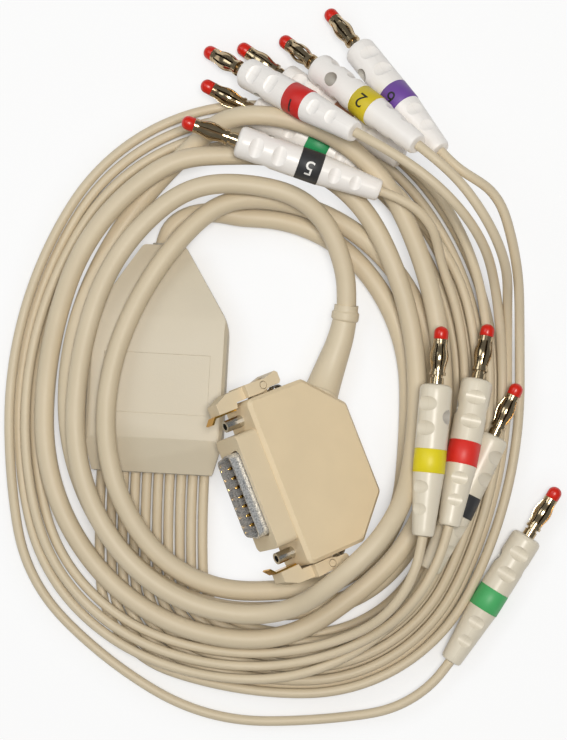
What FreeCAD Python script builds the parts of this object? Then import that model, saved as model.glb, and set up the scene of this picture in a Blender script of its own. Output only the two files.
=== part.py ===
import FreeCAD, Part
import math
import os

V = FreeCAD.Vector
UP = V(0, 0, 1)

# Ten-lead patient cable lying as photographed: X right, Y up the picture, Z up.
# All sizes in millimetres.  ORIGIN is the plan centre of the rigid pieces' box.
ORIGIN = V(11.513, 9.740, 0)

# Cords: a thick trunk and ten thin leads, drawn with flat-sided sections.
TRUNK_D = 5.6
TRUNK_SIDES = 5
LEAD_D = 2.8
LEAD_SIDES = 4
LEAST_GAP = 0.4

# Yoke: the flat housing where the trunk splits into the leads.
YOKE_AT = V(-37.6, -29.2, 0)
YOKE_TURN = -3.2
YOKE_LENGTH = 65.0
YOKE_HALF_END = 17.2
YOKE_HALF = 19.8
YOKE_HALF_NOSE = 6.0
YOKE_SLOPE_END = 10.0
YOKE_SHOULDER = 43.0
YOKE_TOP = 12.6
YOKE_TOP_END = 9.0
YOKE_TOP_NOSE = 8.0
YOKE_SPLIT = 4.0
YOKE_BEVEL = 2.4
YOKE_BEND = 34.0
BUSHING_R = 3.6
BUSHING_OUT = 0.6
GLAND_OUT = 0.4
EXIT_PITCH = 3.3
EXIT_Z = 3.0

# Connector hood: local X along its width, Y towards the mating face, Z up.
HOOD_AT = V(16.0, -24.3, 0)
HOOD_TILT = 30.0
HOOD_TURN = 111.3
HOOD_HALF = 24.4
HOOD_DEPTH = 30.0
HOOD_HEIGHT = 15.0
HOOD_CORNER = 11.0
HOOD_MID = HOOD_HEIGHT / 2
SHROUD_HALF = 16.5
SHROUD_BACK = 24.0
SHROUD_FRONT = 36.8
SHELL_FRONT = 39.8
BLOCK_FRONT = 33.0
SHROUD_LOW = 1.25
SHROUD_HIGH = HOOD_HEIGHT - SHROUD_LOW
CONTACT_PITCH = 2.77
CONTACT_ROW = 2.84
PIVOT_X = 26.6
PIVOT_Y = 22.0
PIVOT_R = 1.0
HOOK_X = 23.2
LEVER_LOW = 2.4
LEVER_HIGH = HOOD_HEIGHT - LEVER_LOW
ARM_LOW = 4.6
ARM_HIGH = HOOD_HEIGHT - ARM_LOW
LUG_HALF = 1.6
PIN_OUT = 5.0
SCREW_SIDES = 8
POST_SIDES = 12
POST_X = 19.6

# Boot on the hood's corner: distance along it (as a share) and radius.
BOOT_END = V(18.0, 18.5, 8.0)
BOOT_HEADING = 85.0
BOOT_ASIDE = 1.7
BOOT_PITCH = 6.0
BOOT_FORM = (
    (0.00, 5.3), (0.05, 5.3), (0.06, 5.0), (0.28, 4.5), (0.55, 3.9), (0.84, 3.45),
    (0.85, 3.95), (0.93, 3.95), (0.94, 3.45), (1.00, 3.45),
)

BOOT_SIDES = 16

# Plug: measured from the rear end of the grip to the tip of the pin, with flat-sided sections.
PLUG_SIDES = 12
PIN_SIDES = 8
PLUG_LENGTH = 58.6
GRIP_LENGTH = 42.3
GRIP_R = 4.5
GRIP_REAR_R = 3.1
RING_FROM = 17.6
RING_TO = 24.2
RING_DEPTH = 0.7
HOLE_FROM_FRONT = 9.0
HOLE_R = 2.0
DIMPLE_CUT_R = 4.0
FRONT_DIMPLES = ((36.6, 0.8), (29.8, 0.8))
REAR_DIMPLES = ((13.4, 0.7), (7.2, 0.6))
SHANK_R = 1.9
SHANK_IN = 6.0
COLLAR_FROM = 44.8
COLLAR_R = 2.35
SPRING_FROM = 45.8
SPRING_TO = 55.2
SPRING_END_R = 1.95
SPRING_BELLY_R = 2.6
LEAF_COUNT = 6
LEAF_WIDTH = 1.5
LEAF_THICK = 0.3
BAND_WIDTH = 0.9
BAND_R = 2.35
BAND_EYE_R = 1.8
CORE_R = 1.2
TIP_R = 2.0

# Headings of the four sides of a turn, counter-clockwise in plan.
LEFT, BOTTOM, RIGHT, TOP = -90.0, 0.0, 90.0, 180.0
CENTRE_X = -9.0
CENTRE_Y = -6.0
CORNER_HEADING = 42.0

# Trunk turns: left (x, y, z), bottom (y, z), hood corner (x, y, z), right (x, z), top (y, z).
TURNS = (
    ((-58.8, -15, 14.8), (-68.8, 16.2), (20.8, -52.6, 28.2), (38.0, 10.4), (61.0, 11.8)),
    ((-68.6, -15, 6.2), (-76.7, 10.2), (26.5, -58.5, 11.1), (45.4, 10.2), (71.8, 15.9)),
    ((-61.7, -9, 8.2), (-69.2, 7.2), (28.8, -59.8, 3.2), (43.9, 2.9), (48.9, 8.8)),
    ((-50.0, -15, 17.0), (-63.0, 9.2), (23.2, -55.6, 3.2), (36.2, 2.9), (43.9, 2.9)),
)
# Stops of the trunk between its turns: x, y, z and heading.
FROM_BOOT = ((14.0, 38.0, 11.5, 115.0), (-1.0, 50.6, 15.0, 165.0), (-32.0, 47.6, 15.6, 216.0))
AFTER_FIRST = ((-35.4, 56.6, 13.0, 212.0),)
AFTER_SECOND = ((-30.5, 59.6, 6.6, 224.0),)
AFTER_THIRD = ((-33.7, 31.6, 13.2, 234.0),)
TO_YOKE = ((-21.0, 45.4, 3.2, 178.0),)

# Plugs by name, in the order of the yoke's exits from right to left: tip, rear end and the
# turn of the cross hole away from straight up.
PLUGS = {
    "limb_yellow": (V(44.2, 12.4, 20.8), V(38.5, -46.0, 25.3), 55),
    "chest_black": (V(-27.8, 69.2, 21.8), V(27.0, 50.2, 18.6), 80),
    "limb_red": (V(58.2, 13.0, 12.0), V(46.0, -43.6, 21.4), 90),
    "chest_green": (V(-22.9, 81.6, 8.0), V(28.4, 54.6, 7.6), 90),
    "limb_black": (V(66.8, -4.2, 10.2), V(41.4, -56.7, 12.8), -45),
    "chest_brown": (V(-12.7, 93.4, 2.2), V(33.4, 59.6, 13.4), 100),
    "limb_green": (V(78.9, -33.8, 4.8), V(47.9, -83.6, 4.8), 90),
    "chest_red": (V(-22.0, 92.0, 2.6), V(19.6, 64.9, 32.6), 90),
    "chest_yellow": (V(-0.6, 95.5, 3.0), V(36.6, 61.4, 32.9), -15),
    "chest_violet": (V(12.8, 103.5, 2.6), V(43.2, 60.3, 27.7), -70),
}
# The plug whose cross hole is a true bore, as the socket for a further pin.
SOCKET_PLUG = "chest_yellow"
# Leads lie in two layers: every second one on top of its neighbours.
LAYER_Z = 1.6
LAYER_STEP = 3.2
CHEST_BENDS = {
    "chest_black": ((46.5, 26.0, 8.6, 112.0), (38.0, 44.6, 17.4, 142.0)),
    "chest_green": ((41.5, 40.0, 5.6, 132.0),),
    "chest_brown": ((47.0, 45.0, 12.0, 122.0),),
    "chest_red": ((36.5, 54.5, 34.0, 144.0),),
    "chest_yellow": ((50.5, 48.5, 32.0, 128.0),),
    "chest_violet": ((61.6, 43.0, 23.0, 109.0),),
}


def save(name, shape):
    """Write one node, moved to the shared frame."""
    solid = shape.copy()
    solid.translate(-ORIGIN)
    solid.exportStep("parts/" + name + ".step")
    low = solid.BoundBox
    print("%-20s solids %2d  volume %9.1f  z %6.2f to %6.2f"
          % (name, len(solid.Solids), solid.Volume, low.ZMin, low.ZMax))
    return solid


def direction(heading, pitch):
    """Unit vector of a plan heading and an upward pitch, both in degrees."""
    level = math.cos(math.radians(pitch))
    turn = math.radians(heading)
    return V(level * math.cos(turn), level * math.sin(turn), math.sin(math.radians(pitch)))


def plate(outline, low, high):
    """Upright prism of a plan outline."""
    points = [V(x, y, low) for x, y in outline]
    return Part.Face(Part.makePolygon(points + points[:1])).extrude(V(0, 0, high - low))


def side_plate(outline, half):
    """Prism of a lengthwise (y, z) outline, running across X."""
    points = [V(-half, y, z) for y, z in outline]
    return Part.Face(Part.makePolygon(points + points[:1])).extrude(V(2 * half, 0, 0))


def long_plate(outline, start, end):
    """Prism of a cross-section (x, z), running along Y."""
    points = [V(x, start, z) for x, z in outline]
    return Part.Face(Part.makePolygon(points + points[:1])).extrude(V(0, end - start, 0))


def block(x0, x1, y0, y1, z0, z1):
    """Box between two corners."""
    return Part.makeBox(x1 - x0, y1 - y0, z1 - z0, V(x0, y0, z0))


def edges_along(shape, axis):
    """Straight edges of a shape that run along an axis."""
    found = []
    for edge in shape.Edges:
        if edge.Curve.TypeId != "Part::GeomLine":
            continue
        run = edge.Vertexes[-1].Point - edge.Vertexes[0].Point
        if abs(run.dot(axis)) > 0.999 * run.Length:
            found.append(edge)
    return found


def mirrored(shape):
    """The same form on the other end of the hood."""
    return shape.mirror(V(0, 0, 0), V(1, 0, 0))


# Routes of the cords


def slopes(stops):
    """Rise per run at each stop, level where the route changes between up and down."""
    rises = []
    for here, there in zip(stops, stops[1:]):
        run = math.hypot(there[0] - here[0], there[1] - here[1])
        rises.append((there[2] - here[2]) / run)
    middle = []
    for before, after in zip(rises, rises[1:]):
        same_way = before * after > 0
        middle.append(2 * before * after / (before + after) if same_way else 0.0)
    return [0.0] + middle + [0.0]


def stop_frames(stops):
    """Points and unit tangents of a route's stops."""
    frames = []
    for stop, slope in zip(stops, slopes(stops)):
        pitch = stop[4] if len(stop) > 4 else math.degrees(math.atan(slope))
        frames.append((V(*stop[:3]), direction(stop[3], pitch)))
    return frames


def tangent_arc(start, corner, end):
    """Arc from start to end whose end tangents meet at the corner."""
    middle = (start + end) * 0.5
    reach = (end - start).Length / 2
    away = corner - middle
    if away.Length < 1e-4 * reach:
        return Part.makeLine(start, end)
    bulge = reach * math.tan(math.atan(away.Length / reach) / 2)
    crown = middle + away * (bulge / away.Length)
    return Part.Arc(start, crown, end).toShape()


def biarc(start, leave, end, arrive):
    """Two arcs that join two points with given tangents."""
    span = end - start
    both = leave + arrive
    along = span.dot(both)
    turn = 2 * (1 - leave.dot(arrive))
    if turn < 1e-9:
        arm = span.Length / 4
    else:
        arm = (math.sqrt(along * along + turn * span.dot(span)) - along) / turn
    first = start + leave * arm
    second = end - arrive * arm
    meet = (first + second) * 0.5
    return [tangent_arc(start, first, meet), tangent_arc(meet, second, end)]


def route_edges(stops):
    """Arcs through all the stops of a route."""
    frames = stop_frames(stops)
    edges = []
    for (start, leave), (end, arrive) in zip(frames, frames[1:]):
        edges.extend(biarc(start, leave, end, arrive))
    return edges


def turn_stops(turn):
    """The five stops of one turn: left, bottom, hood corner, right and top."""
    left, bottom, corner, right, top = turn
    return [
        (*left, LEFT),
        (CENTRE_X, bottom[0], bottom[1], BOTTOM),
        (*corner, CORNER_HEADING),
        (right[0], CENTRE_Y, right[1], RIGHT),
        (CENTRE_X, top[0], top[1], TOP),
    ]


def yoke_point(along, across, height):
    """A point in the yoke's own frame, placed as the yoke lies."""
    turn = math.radians(YOKE_TURN)
    x = across * math.cos(turn) - along * math.sin(turn)
    y = across * math.sin(turn) + along * math.cos(turn)
    return YOKE_AT + V(x, y, height)


def trunk_stops():
    """From the boot, round four turns, into the yoke's nose."""
    stops = [(*BOOT_END, BOOT_HEADING, BOOT_PITCH)]
    stops.extend(FROM_BOOT)
    stops.extend(turn_stops(TURNS[0]))
    stops.extend(AFTER_FIRST)
    stops.extend(turn_stops(TURNS[1]))
    stops.extend(AFTER_SECOND)
    stops.extend(turn_stops(TURNS[2]))
    stops.extend(AFTER_THIRD)
    stops.extend(turn_stops(TURNS[3]))
    stops.extend(TO_YOKE)
    nose = yoke_point(YOKE_LENGTH + BUSHING_OUT, 0, YOKE_SPLIT)
    stops.append((*nose, YOKE_TURN - 90, 0.0))
    return stops


def limb_return(index):
    """A limb lead's second way round: over the top, down the left and along the bottom."""
    rank = index // 2
    raised = rank % 2
    left_x = -72.0 - 2.3 * rank
    bottom_y = -80.9 - 3.7 * rank
    stops = [(CENTRE_X, 65.5 + 3.7 * rank, LAYER_Z, TOP)]
    stops.append((left_x, -15.0, LAYER_Z + 2.8 * raised, LEFT))
    if rank == 3:
        stops.append((-63.6, -71.6, 2.4, -46.0))
        stops.append((-5.0, -101.5, LAYER_Z, BOTTOM))
    else:
        share = 0.735
        corner_x = CENTRE_X + (left_x - CENTRE_X) * share
        corner_y = -15.0 + (bottom_y + 15.0) * share
        stops.append((corner_x, corner_y, 6.6 + 1.3 * raised, -45.0))
        stops.append((CENTRE_X, bottom_y, 8.4, BOTTOM))
    return stops


def lead_stops(name, index):
    """From the yoke, under the trunk, up the right side and on to the plug."""
    tip, rear, roll = PLUGS[name]
    raised = index % 2
    layer = LAYER_Z + LAYER_STEP * raised
    leave = yoke_point(-GLAND_OUT, EXIT_PITCH * (4.5 - index), EXIT_Z)
    outer = 1.4 if name == "chest_violet" else 0.0
    stops = [(*leave, YOKE_TURN - 90, 0.0)]
    stops.append((leave.x - 0.4, -60.0, LAYER_Z + raised, -88.0))
    stops.append((6.0, -76.3 - 1.85 * index, layer, BOTTOM))
    stops.append((50.3 + 1.8 * index + outer, -4.0, layer, RIGHT))
    if name.startswith("limb"):
        stops.extend(limb_return(index))
    stops.extend(CHEST_BENDS.get(name, ()))
    axis = (tip - rear).normalize()
    heading = math.degrees(math.atan2(axis.y, axis.x))
    stops.append((*rear, heading, math.degrees(math.asin(axis.z))))
    return stops


def ring_points(centre, tangent, radius, sides):
    """Corners of a flat-sided section, square to its run."""
    across = tangent.cross(UP).normalize()
    over = across.cross(tangent)
    points = []
    for number in range(sides):
        angle = 2 * math.pi * (number + 0.5) / sides
        points.append(centre + across * (radius * math.cos(angle)) + over * (radius * math.sin(angle)))
    return points


def upright_ring(centre, radius, sides):
    """Corners of a flat-sided section that stands on its end."""
    step = 360 / sides
    return [centre + direction(step * (number + 0.5), 0) * radius for number in range(sides)]


def section(centre, tangent, radius, sides):
    """Flat-sided section as a closed wire."""
    points = ring_points(centre, tangent, radius, sides)
    return Part.makePolygon(points + points[:1])


def flat_faces(corners):
    """One face through four corners, or two where they aren't in one plane."""
    a, b, c, d = corners
    square = (b - a).cross(c - a)
    if abs(square.normalize().dot(d - a)) < 1e-6:
        return [Part.Face(Part.makePolygon([a, b, c, d, a]))]
    return [Part.Face(Part.makePolygon([a, b, c, a])), Part.Face(Part.makePolygon([a, c, d, a]))]


def faceted(rings):
    """Flat-faced solid through rings of corners, closed at both ends."""
    faces = [Part.Face(Part.makePolygon(ring + ring[:1])) for ring in (rings[0], rings[-1])]
    for near, far in zip(rings, rings[1:]):
        for number in range(len(near)):
            faces.extend(flat_faces((near[number - 1], near[number], far[number], far[number - 1])))
    body = Part.Solid(Part.makeShell(faces))
    if body.Volume < 0:
        body.reverse()
    return body.removeSplitter()


def route_points(edges, spacing):
    """Points along a route, with their distance from its start."""
    points = []
    gone = 0.0
    for edge in edges:
        count = max(3, int(edge.Length / spacing) + 1)
        run = edge.discretize(Number=count)
        for number, point in enumerate(run[:-1]):
            points.append((gone + edge.Length * number / (count - 1), point))
        gone += edge.Length
    return points


def least_self_gap(edges, diameter):
    """Least clear gap between two stretches of the same cord."""
    points = route_points(edges, 1.6)
    least = 1e9
    for number, (gone, point) in enumerate(points):
        for further, other in points[number + 1:]:
            if further - gone > 8 * diameter:
                least = min(least, point.distanceToPoint(other))
    return least - diameter


def cord(name, stops, diameter, sides):
    """One unbroken tube along its route, with its figures printed."""
    edges = route_edges(stops)
    frames = stop_frames(stops)
    wire = Part.Wire(edges)
    tube = wire.makePipeShell([section(frames[0][0], frames[0][1], diameter / 2, sides)], True, False)
    radii = [edge.Curve.Radius for edge in edges if edge.Curve.TypeId == "Part::GeomCircle"]
    area = sides / 2 * math.sin(2 * math.pi / sides) * (diameter / 2) ** 2
    print("%s length %.1f, tightest bend %.1f, volume share %.4f, solids %d, valid %s"
          % (name, wire.Length, min(radii), tube.Volume / (area * wire.Length), len(tube.Solids),
             tube.isValid()))
    gap = least_self_gap(edges, diameter)
    if gap < 100:
        print("%s least gap to itself %.2f (at least %.1f)" % (name, gap, LEAST_GAP))
    return tube


# Yoke


def placed_on_yoke(shape):
    """Lay a yoke piece down where the yoke lies."""
    shape.rotate(V(0, 0, 0), UP, YOKE_TURN)
    shape.translate(YOKE_AT)
    return shape


def yoke_form():
    """The closed housing: a paddle with sloped ends and bevelled long edges."""
    half = [
        (YOKE_HALF_END, 0), (YOKE_HALF, YOKE_SLOPE_END), (YOKE_HALF, YOKE_SHOULDER),
        (YOKE_HALF_NOSE, YOKE_LENGTH),
    ]
    outline = half + [(-x, y) for x, y in reversed(half)]
    body = plate(outline, 0, YOKE_TOP)
    upright = edges_along(body, UP)
    shoulders = [edge for edge in upright if abs(edge.Vertexes[0].Y - YOKE_SHOULDER) < 0.1]
    body = body.makeFillet(14.0, shoulders)
    nose = [edge for edge in edges_along(body, UP) if edge.Vertexes[0].Y > YOKE_LENGTH - 0.1]
    body = body.makeFillet(2.0, nose)
    profile = [(YOKE_SLOPE_END, YOKE_TOP), (0, YOKE_TOP_END), (0, 0), (YOKE_LENGTH, 0)]
    for step in range(6, 0, -1):
        share = step / 6
        along = YOKE_BEND + (YOKE_LENGTH - YOKE_BEND) * share
        profile.append((along, YOKE_TOP - (YOKE_TOP - YOKE_TOP_NOSE) * share ** 2))
    profile.append((YOKE_BEND, YOKE_TOP))
    edge = [(YOKE_HALF - 0.8, 0), (YOKE_HALF, 0.8)]
    for turn in (0, 30, 60, 90):
        inwards = YOKE_BEVEL * (1 - math.cos(math.radians(turn)))
        down = YOKE_BEVEL * (1 - math.sin(math.radians(turn)))
        edge.append((YOKE_HALF - inwards, YOKE_TOP - down))
    across = edge + [(-x, z) for x, z in reversed(edge)]
    body = body.common(side_plate(profile, YOKE_HALF + 1))
    body = body.common(long_plate(across, -1, YOKE_LENGTH + 1))
    label = block(-15, 15, 17, YOKE_BEND, YOKE_TOP - 0.15, YOKE_TOP + 1)
    return body.cut(label).removeSplitter()


def yoke_bushing():
    """Rubber sleeve that holds the trunk in the nose."""
    length = 9.0
    end = YOKE_LENGTH + BUSHING_OUT
    ends = (V(0, end - length, YOKE_SPLIT), V(0, end, YOKE_SPLIT))
    return faceted([ring_points(point, V(0, 1, 0), BUSHING_R, BOOT_SIDES) for point in ends])


def yoke_gland():
    """Rubber bar across the wide end, which the leads leave."""
    half = EXIT_PITCH * 4.5 + 2.1
    return block(-half, half, -GLAND_OUT, 5.0, 0.9, 5.1)


def build_yoke(nodes):
    """Two shells, the nose bushing and the lead gland."""
    body = yoke_form()
    bushing = yoke_bushing()
    gland = yoke_gland()
    body = body.cut(bushing).cut(gland)
    reach = YOKE_LENGTH
    below = block(-reach, reach, -reach, 2 * reach, -1, YOKE_SPLIT)
    lower = body.common(below)
    upper = body.cut(below)
    seam = block(-reach, reach, -reach, 2 * reach, YOKE_SPLIT, YOKE_SPLIT + 0.5)
    core = yoke_form()
    core.scale(0.985, V(0, YOKE_LENGTH * 0.45, YOKE_SPLIT))
    upper = upper.cut(seam.cut(core))
    nodes["yoke_lower_shell"] = placed_on_yoke(lower)
    nodes["yoke_upper_shell"] = placed_on_yoke(upper)
    nodes["yoke_bushing"] = placed_on_yoke(bushing)
    nodes["yoke_lead_gland"] = placed_on_yoke(gland)


# Connector


def placed_on_hood(shape):
    """Tilt and turn a connector piece to where the connector lies."""
    shape.rotate(V(0, 0, 0), V(1, 0, 0), HOOD_TILT)
    shape.rotate(V(0, 0, 0), UP, HOOD_TURN)
    shape.translate(HOOD_AT)
    return shape


def hood_point(x, y, z):
    """A point in the connector's own frame, placed as it lies."""
    return placed_on_hood(Part.Vertex(x, y, z)).Point


def hood_form():
    """Housing with both rear corners cut off and softened edges."""
    shoulder = HOOD_HALF - HOOD_CORNER
    half = [(shoulder, 0), (HOOD_HALF, HOOD_CORNER), (HOOD_HALF, HOOD_DEPTH)]
    outline = half + [(-x, y) for x, y in reversed(half)]
    body = plate(outline, 0, HOOD_HEIGHT)
    body = body.makeFillet(2.0, edges_along(body, UP))
    rim = [edge for edge in body.Edges if edge.BoundBox.ZMin > HOOD_HEIGHT - 0.01]
    body = body.makeChamfer(1.0, rim)
    foot = [edge for edge in body.Edges if edge.BoundBox.ZMax < 0.01]
    foot = [edge for edge in foot if edge.BoundBox.YMax > 0.6]
    return body.makeChamfer(0.8, foot) if foot else body


def hood_lug(low):
    """Half of the ear on the hood's side that holds a lever's pin."""
    ear = block(HOOD_HALF, PIVOT_X + 1.6, PIVOT_Y - 2.6, PIVOT_Y + 2.6, low, low + LUG_HALF)
    corners = [edge for edge in edges_along(ear, UP) if edge.Vertexes[0].X > PIVOT_X]
    ear = ear.makeFillet(1.2, corners)
    return ear.cut(latch_pin())


def shell_screw(x, y):
    """Countersunk screw from below, holding the hood's halves together."""
    steps = ((0.4, 2.5), (1.8, 1.3), (10.0, 1.3))
    return faceted([upright_ring(V(x, y, z), radius, SCREW_SIDES) for z, radius in steps])


def d_outline(width, height, start, end):
    """Prism of the D form that keys the connector."""
    lean = height * math.tan(math.radians(10))
    half = width / 2
    low = HOOD_MID - height / 2
    section_points = [
        (-half, low + height), (half, low + height), (half - lean, low), (-half + lean, low),
    ]
    body = long_plate(section_points, start, end)
    return body.makeFillet(height * 0.22, edges_along(body, V(0, 1, 0)))


def front_shroud():
    """Moulded front that surrounds the metal shell."""
    body = block(-SHROUD_HALF, SHROUD_HALF, SHROUD_BACK, SHROUD_FRONT, SHROUD_LOW, SHROUD_HIGH)
    body = body.makeFillet(1.6, edges_along(body, V(0, 1, 0)))
    body = body.cut(d_outline(26.0, 9.4, 28.9, SHROUD_FRONT + 1))
    return body.cut(block(-15, 15, SHROUD_BACK - 1, 29, 2.0, HOOD_HEIGHT - 2.0))


def dsub_shell():
    """Pressed metal shell: a D-shaped wall on a flat flange."""
    flange = block(-15, 15, 28.2, 29.0, 2.0, HOOD_HEIGHT - 2.0)
    wall = d_outline(25.0, 8.4, 28.6, SHELL_FRONT)
    return flange.fuse(wall).cut(d_outline(24.1, 7.5, 28, SHELL_FRONT + 1)).removeSplitter()


def dsub_insulator():
    """Block that carries the contacts."""
    front = d_outline(24.1, 7.5, 28.2, BLOCK_FRONT)
    back = block(-11, 11, SHROUD_BACK, 28.2, 4.2, HOOD_HEIGHT - 4.2)
    return front.fuse(back).removeSplitter()


def contact(x, z):
    """One contact pin, six-sided with a pointed end."""
    steps = ((BLOCK_FRONT, 0.5), (BLOCK_FRONT + 5.0, 0.5), (BLOCK_FRONT + 5.5, 0.2))
    return faceted([ring_points(V(x, y, z), V(0, 1, 0), radius, 6) for y, radius in steps])


def dsub_contacts():
    """Eight contacts above seven."""
    pins = []
    for row, count in ((0.5, 8), (-0.5, 7)):
        for number in range(count):
            x = (number - (count - 1) / 2) * CONTACT_PITCH
            pins.append(contact(x, HOOD_MID + row * CONTACT_ROW))
    return Part.makeCompound(pins)


def flange_post():
    """Rolled metal post beside the shroud."""
    ends = (V(POST_X, HOOD_DEPTH, HOOD_MID), V(POST_X, HOOD_DEPTH + 5.4, HOOD_MID))
    post = faceted([ring_points(end, V(0, 1, 0), 1.7, POST_SIDES) for end in ends])
    reach = (V(POST_X, HOOD_DEPTH + 1.6, HOOD_MID), V(POST_X, HOOD_DEPTH + 6.0, HOOD_MID))
    return post.cut(faceted([ring_points(end, V(0, 1, 0), 1.0, POST_SIDES) for end in reach]))


def latch_lever():
    """Squeeze lever: tall thumb block round the ear and an arm that carries the hook."""
    thumb = [
        (25.5, 17.0), (26.2, 16.4), (28.6, 16.4), (29.3, 17.2), (28.3, 21.0), (28.5, 27.6),
        (24.8, 27.6), (24.8, 23.0), (25.5, 20.0),
    ]
    forward = [
        (24.8, 27.0), (28.3, 27.0), (28.0, 33.0), (26.2, 37.0), (HOOK_X, 37.0), (HOOK_X, 31.0),
        (24.8, 30.6),
    ]
    lever = plate(thumb, LEVER_LOW, LEVER_HIGH).fuse(plate(forward, ARM_LOW, ARM_HIGH))
    slot = block(HOOD_HALF, PIVOT_X + 2.1, PIVOT_Y - 3.2, PIVOT_Y + 3.2,
                 HOOD_MID - LUG_HALF - 0.3, HOOD_MID + LUG_HALF + 0.3)
    eye = Part.makeCylinder(PIVOT_R + 0.15, HOOD_HEIGHT, V(PIVOT_X, PIVOT_Y, 0))
    return lever.cut(slot).cut(eye).removeSplitter()


def latch_hook():
    """Leaf hook on the arm's inner face, which catches the other connector."""
    leaf = [
        (HOOK_X - 0.5, 31.2), (HOOK_X - 0.5, 38.0), (HOOK_X - 2.0, 39.4), (HOOK_X - 1.7, 39.9),
        (HOOK_X, 38.3), (HOOK_X, 31.2),
    ]
    return plate(leaf, HOOD_MID - 2.0, HOOD_MID + 2.0)


def latch_spring():
    """Bowed leaf between the hood's side and the thumb block, above the ear."""
    rest = HOOD_HALF + 0.05
    bow = Part.Arc(V(rest, 16.8, 0), V(rest + 0.95, 18.4, 0), V(rest, 20.0, 0)).toShape()
    back = Part.Arc(V(rest, 19.5, 0), V(rest + 0.65, 18.4, 0), V(rest, 17.3, 0)).toShape()
    foot = Part.makeLine(V(rest, 20.0, 0), V(rest, 19.5, 0))
    heel = Part.makeLine(V(rest, 17.3, 0), V(rest, 16.8, 0))
    strip = Part.Face(Part.Wire([bow, foot, back, heel])).extrude(V(0, 0, 3.0))
    strip.translate(V(0, 0, HOOD_MID + 2.3))
    return strip


def latch_pin():
    """Pin on which a lever turns, held in the ear."""
    ends = (V(PIVOT_X, PIVOT_Y, HOOD_MID - PIN_OUT), V(PIVOT_X, PIVOT_Y, HOOD_MID + PIN_OUT))
    return faceted([upright_ring(end, PIVOT_R, POST_SIDES) for end in ends])


def build_hood_shells(nodes):
    """Two halves with the lever ears, opened at the front for the shroud."""
    body = hood_form()
    seat = block(-SHROUD_HALF, SHROUD_HALF, SHROUD_BACK, HOOD_DEPTH + 1, SHROUD_LOW, SHROUD_HIGH)
    body = body.cut(seat.makeFillet(1.6, edges_along(seat, V(0, 1, 0))))
    screws = Part.makeCompound([shell_screw(-17, 15), shell_screw(17, 15), shell_screw(0, 5)])
    body = body.cut(screws)
    for x, y in ((-17, 15), (17, 15), (0, 5)):
        body = body.cut(faceted([upright_ring(V(x, y, z), 2.5, SCREW_SIDES) for z in (-0.1, 0.4)]))
    below = block(-60, 60, -10, 60, -1, HOOD_MID)
    lower = body.common(below)
    upper = body.cut(below)
    seam = block(-60, 60, -10, 60, HOOD_MID, HOOD_MID + 0.4)
    inside = plate([(-13.2, 0.4), (13.2, 0.4), (24.0, 11.2), (24.0, 60), (-24.0, 60), (-24.0, 11.2)], 0, 15)
    upper = upper.cut(seam.cut(inside))
    for ear in (hood_lug(HOOD_MID - LUG_HALF), mirrored(hood_lug(HOOD_MID - LUG_HALF))):
        lower = lower.fuse(ear)
    for ear in (hood_lug(HOOD_MID), mirrored(hood_lug(HOOD_MID))):
        upper = upper.fuse(ear)
    nodes["hood_lower_shell"] = lower.removeSplitter()
    nodes["hood_upper_shell"] = upper.removeSplitter()
    nodes["hood_screws"] = screws


def build_connector(nodes):
    """All pieces of the connector in its own frame, then laid down."""
    pieces = {}
    build_hood_shells(pieces)
    pieces["front_shroud"] = front_shroud()
    pieces["dsub_shell"] = dsub_shell()
    pieces["dsub_insulator"] = dsub_insulator()
    pieces["dsub_contacts"] = dsub_contacts()
    pieces["flange_posts"] = Part.makeCompound([flange_post(), mirrored(flange_post())])
    for form in (latch_lever, latch_hook, latch_pin, latch_spring):
        pieces[form.__name__ + "_upper"] = form()
        pieces[form.__name__ + "_lower"] = mirrored(form())
    for name, shape in pieces.items():
        nodes[name] = placed_on_hood(shape)


def boot_path():
    """Arcs from the hood's cut corner to where the trunk leaves the boot."""
    x, y = HOOD_HALF - HOOD_CORNER / 2 - BOOT_ASIDE, HOOD_CORNER / 2 - BOOT_ASIDE
    base = hood_point(x, y, HOOD_MID)
    outside = hood_point(x + 1, y - 1, HOOD_MID)
    leave = (outside - base).normalize()
    return biarc(base, leave, BOOT_END, direction(BOOT_HEADING, BOOT_PITCH))


def cable_boot():
    """Bell-shaped sleeve with a bead, bent towards the trunk."""
    edges = boot_path()
    total = sum(edge.Length for edge in edges)
    rings = []
    for share, radius in BOOT_FORM:
        gone = share * total
        edge = edges[0]
        if gone > edge.Length:
            gone -= edge.Length
            edge = edges[1]
        at = edge.getParameterByLength(min(gone, edge.Length))
        rings.append(ring_points(edge.valueAt(at), edge.tangentAt(at), radius, BOOT_SIDES))
    return faceted(rings)


# Plugs


def turned(profile, sides=PLUG_SIDES):
    """Flat-sided form about X from (x, radius) steps."""
    return faceted([ring_points(V(x, 0, 0), V(1, 0, 0), radius, sides) for x, radius in profile])


def dimple_cutter(centre):
    """Flat-sided bar that scoops a finger dimple across the grip."""
    return faceted([upright_ring(centre + UP * rise, DIMPLE_CUT_R, PLUG_SIDES) for rise in (0, 16)])


def round_hole():
    """True bore of a cross hole that takes another plug's pin."""
    return Part.makeCylinder(HOLE_R, 12, V(GRIP_LENGTH - HOLE_FROM_FRONT, 0, -6))


def flat_sided_hole():
    """The same cross hole with flat sides."""
    centre = V(GRIP_LENGTH - HOLE_FROM_FRONT, 0, -6)
    return faceted([upright_ring(centre + UP * rise, HOLE_R, PLUG_SIDES) for rise in (0, 12)])


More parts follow.
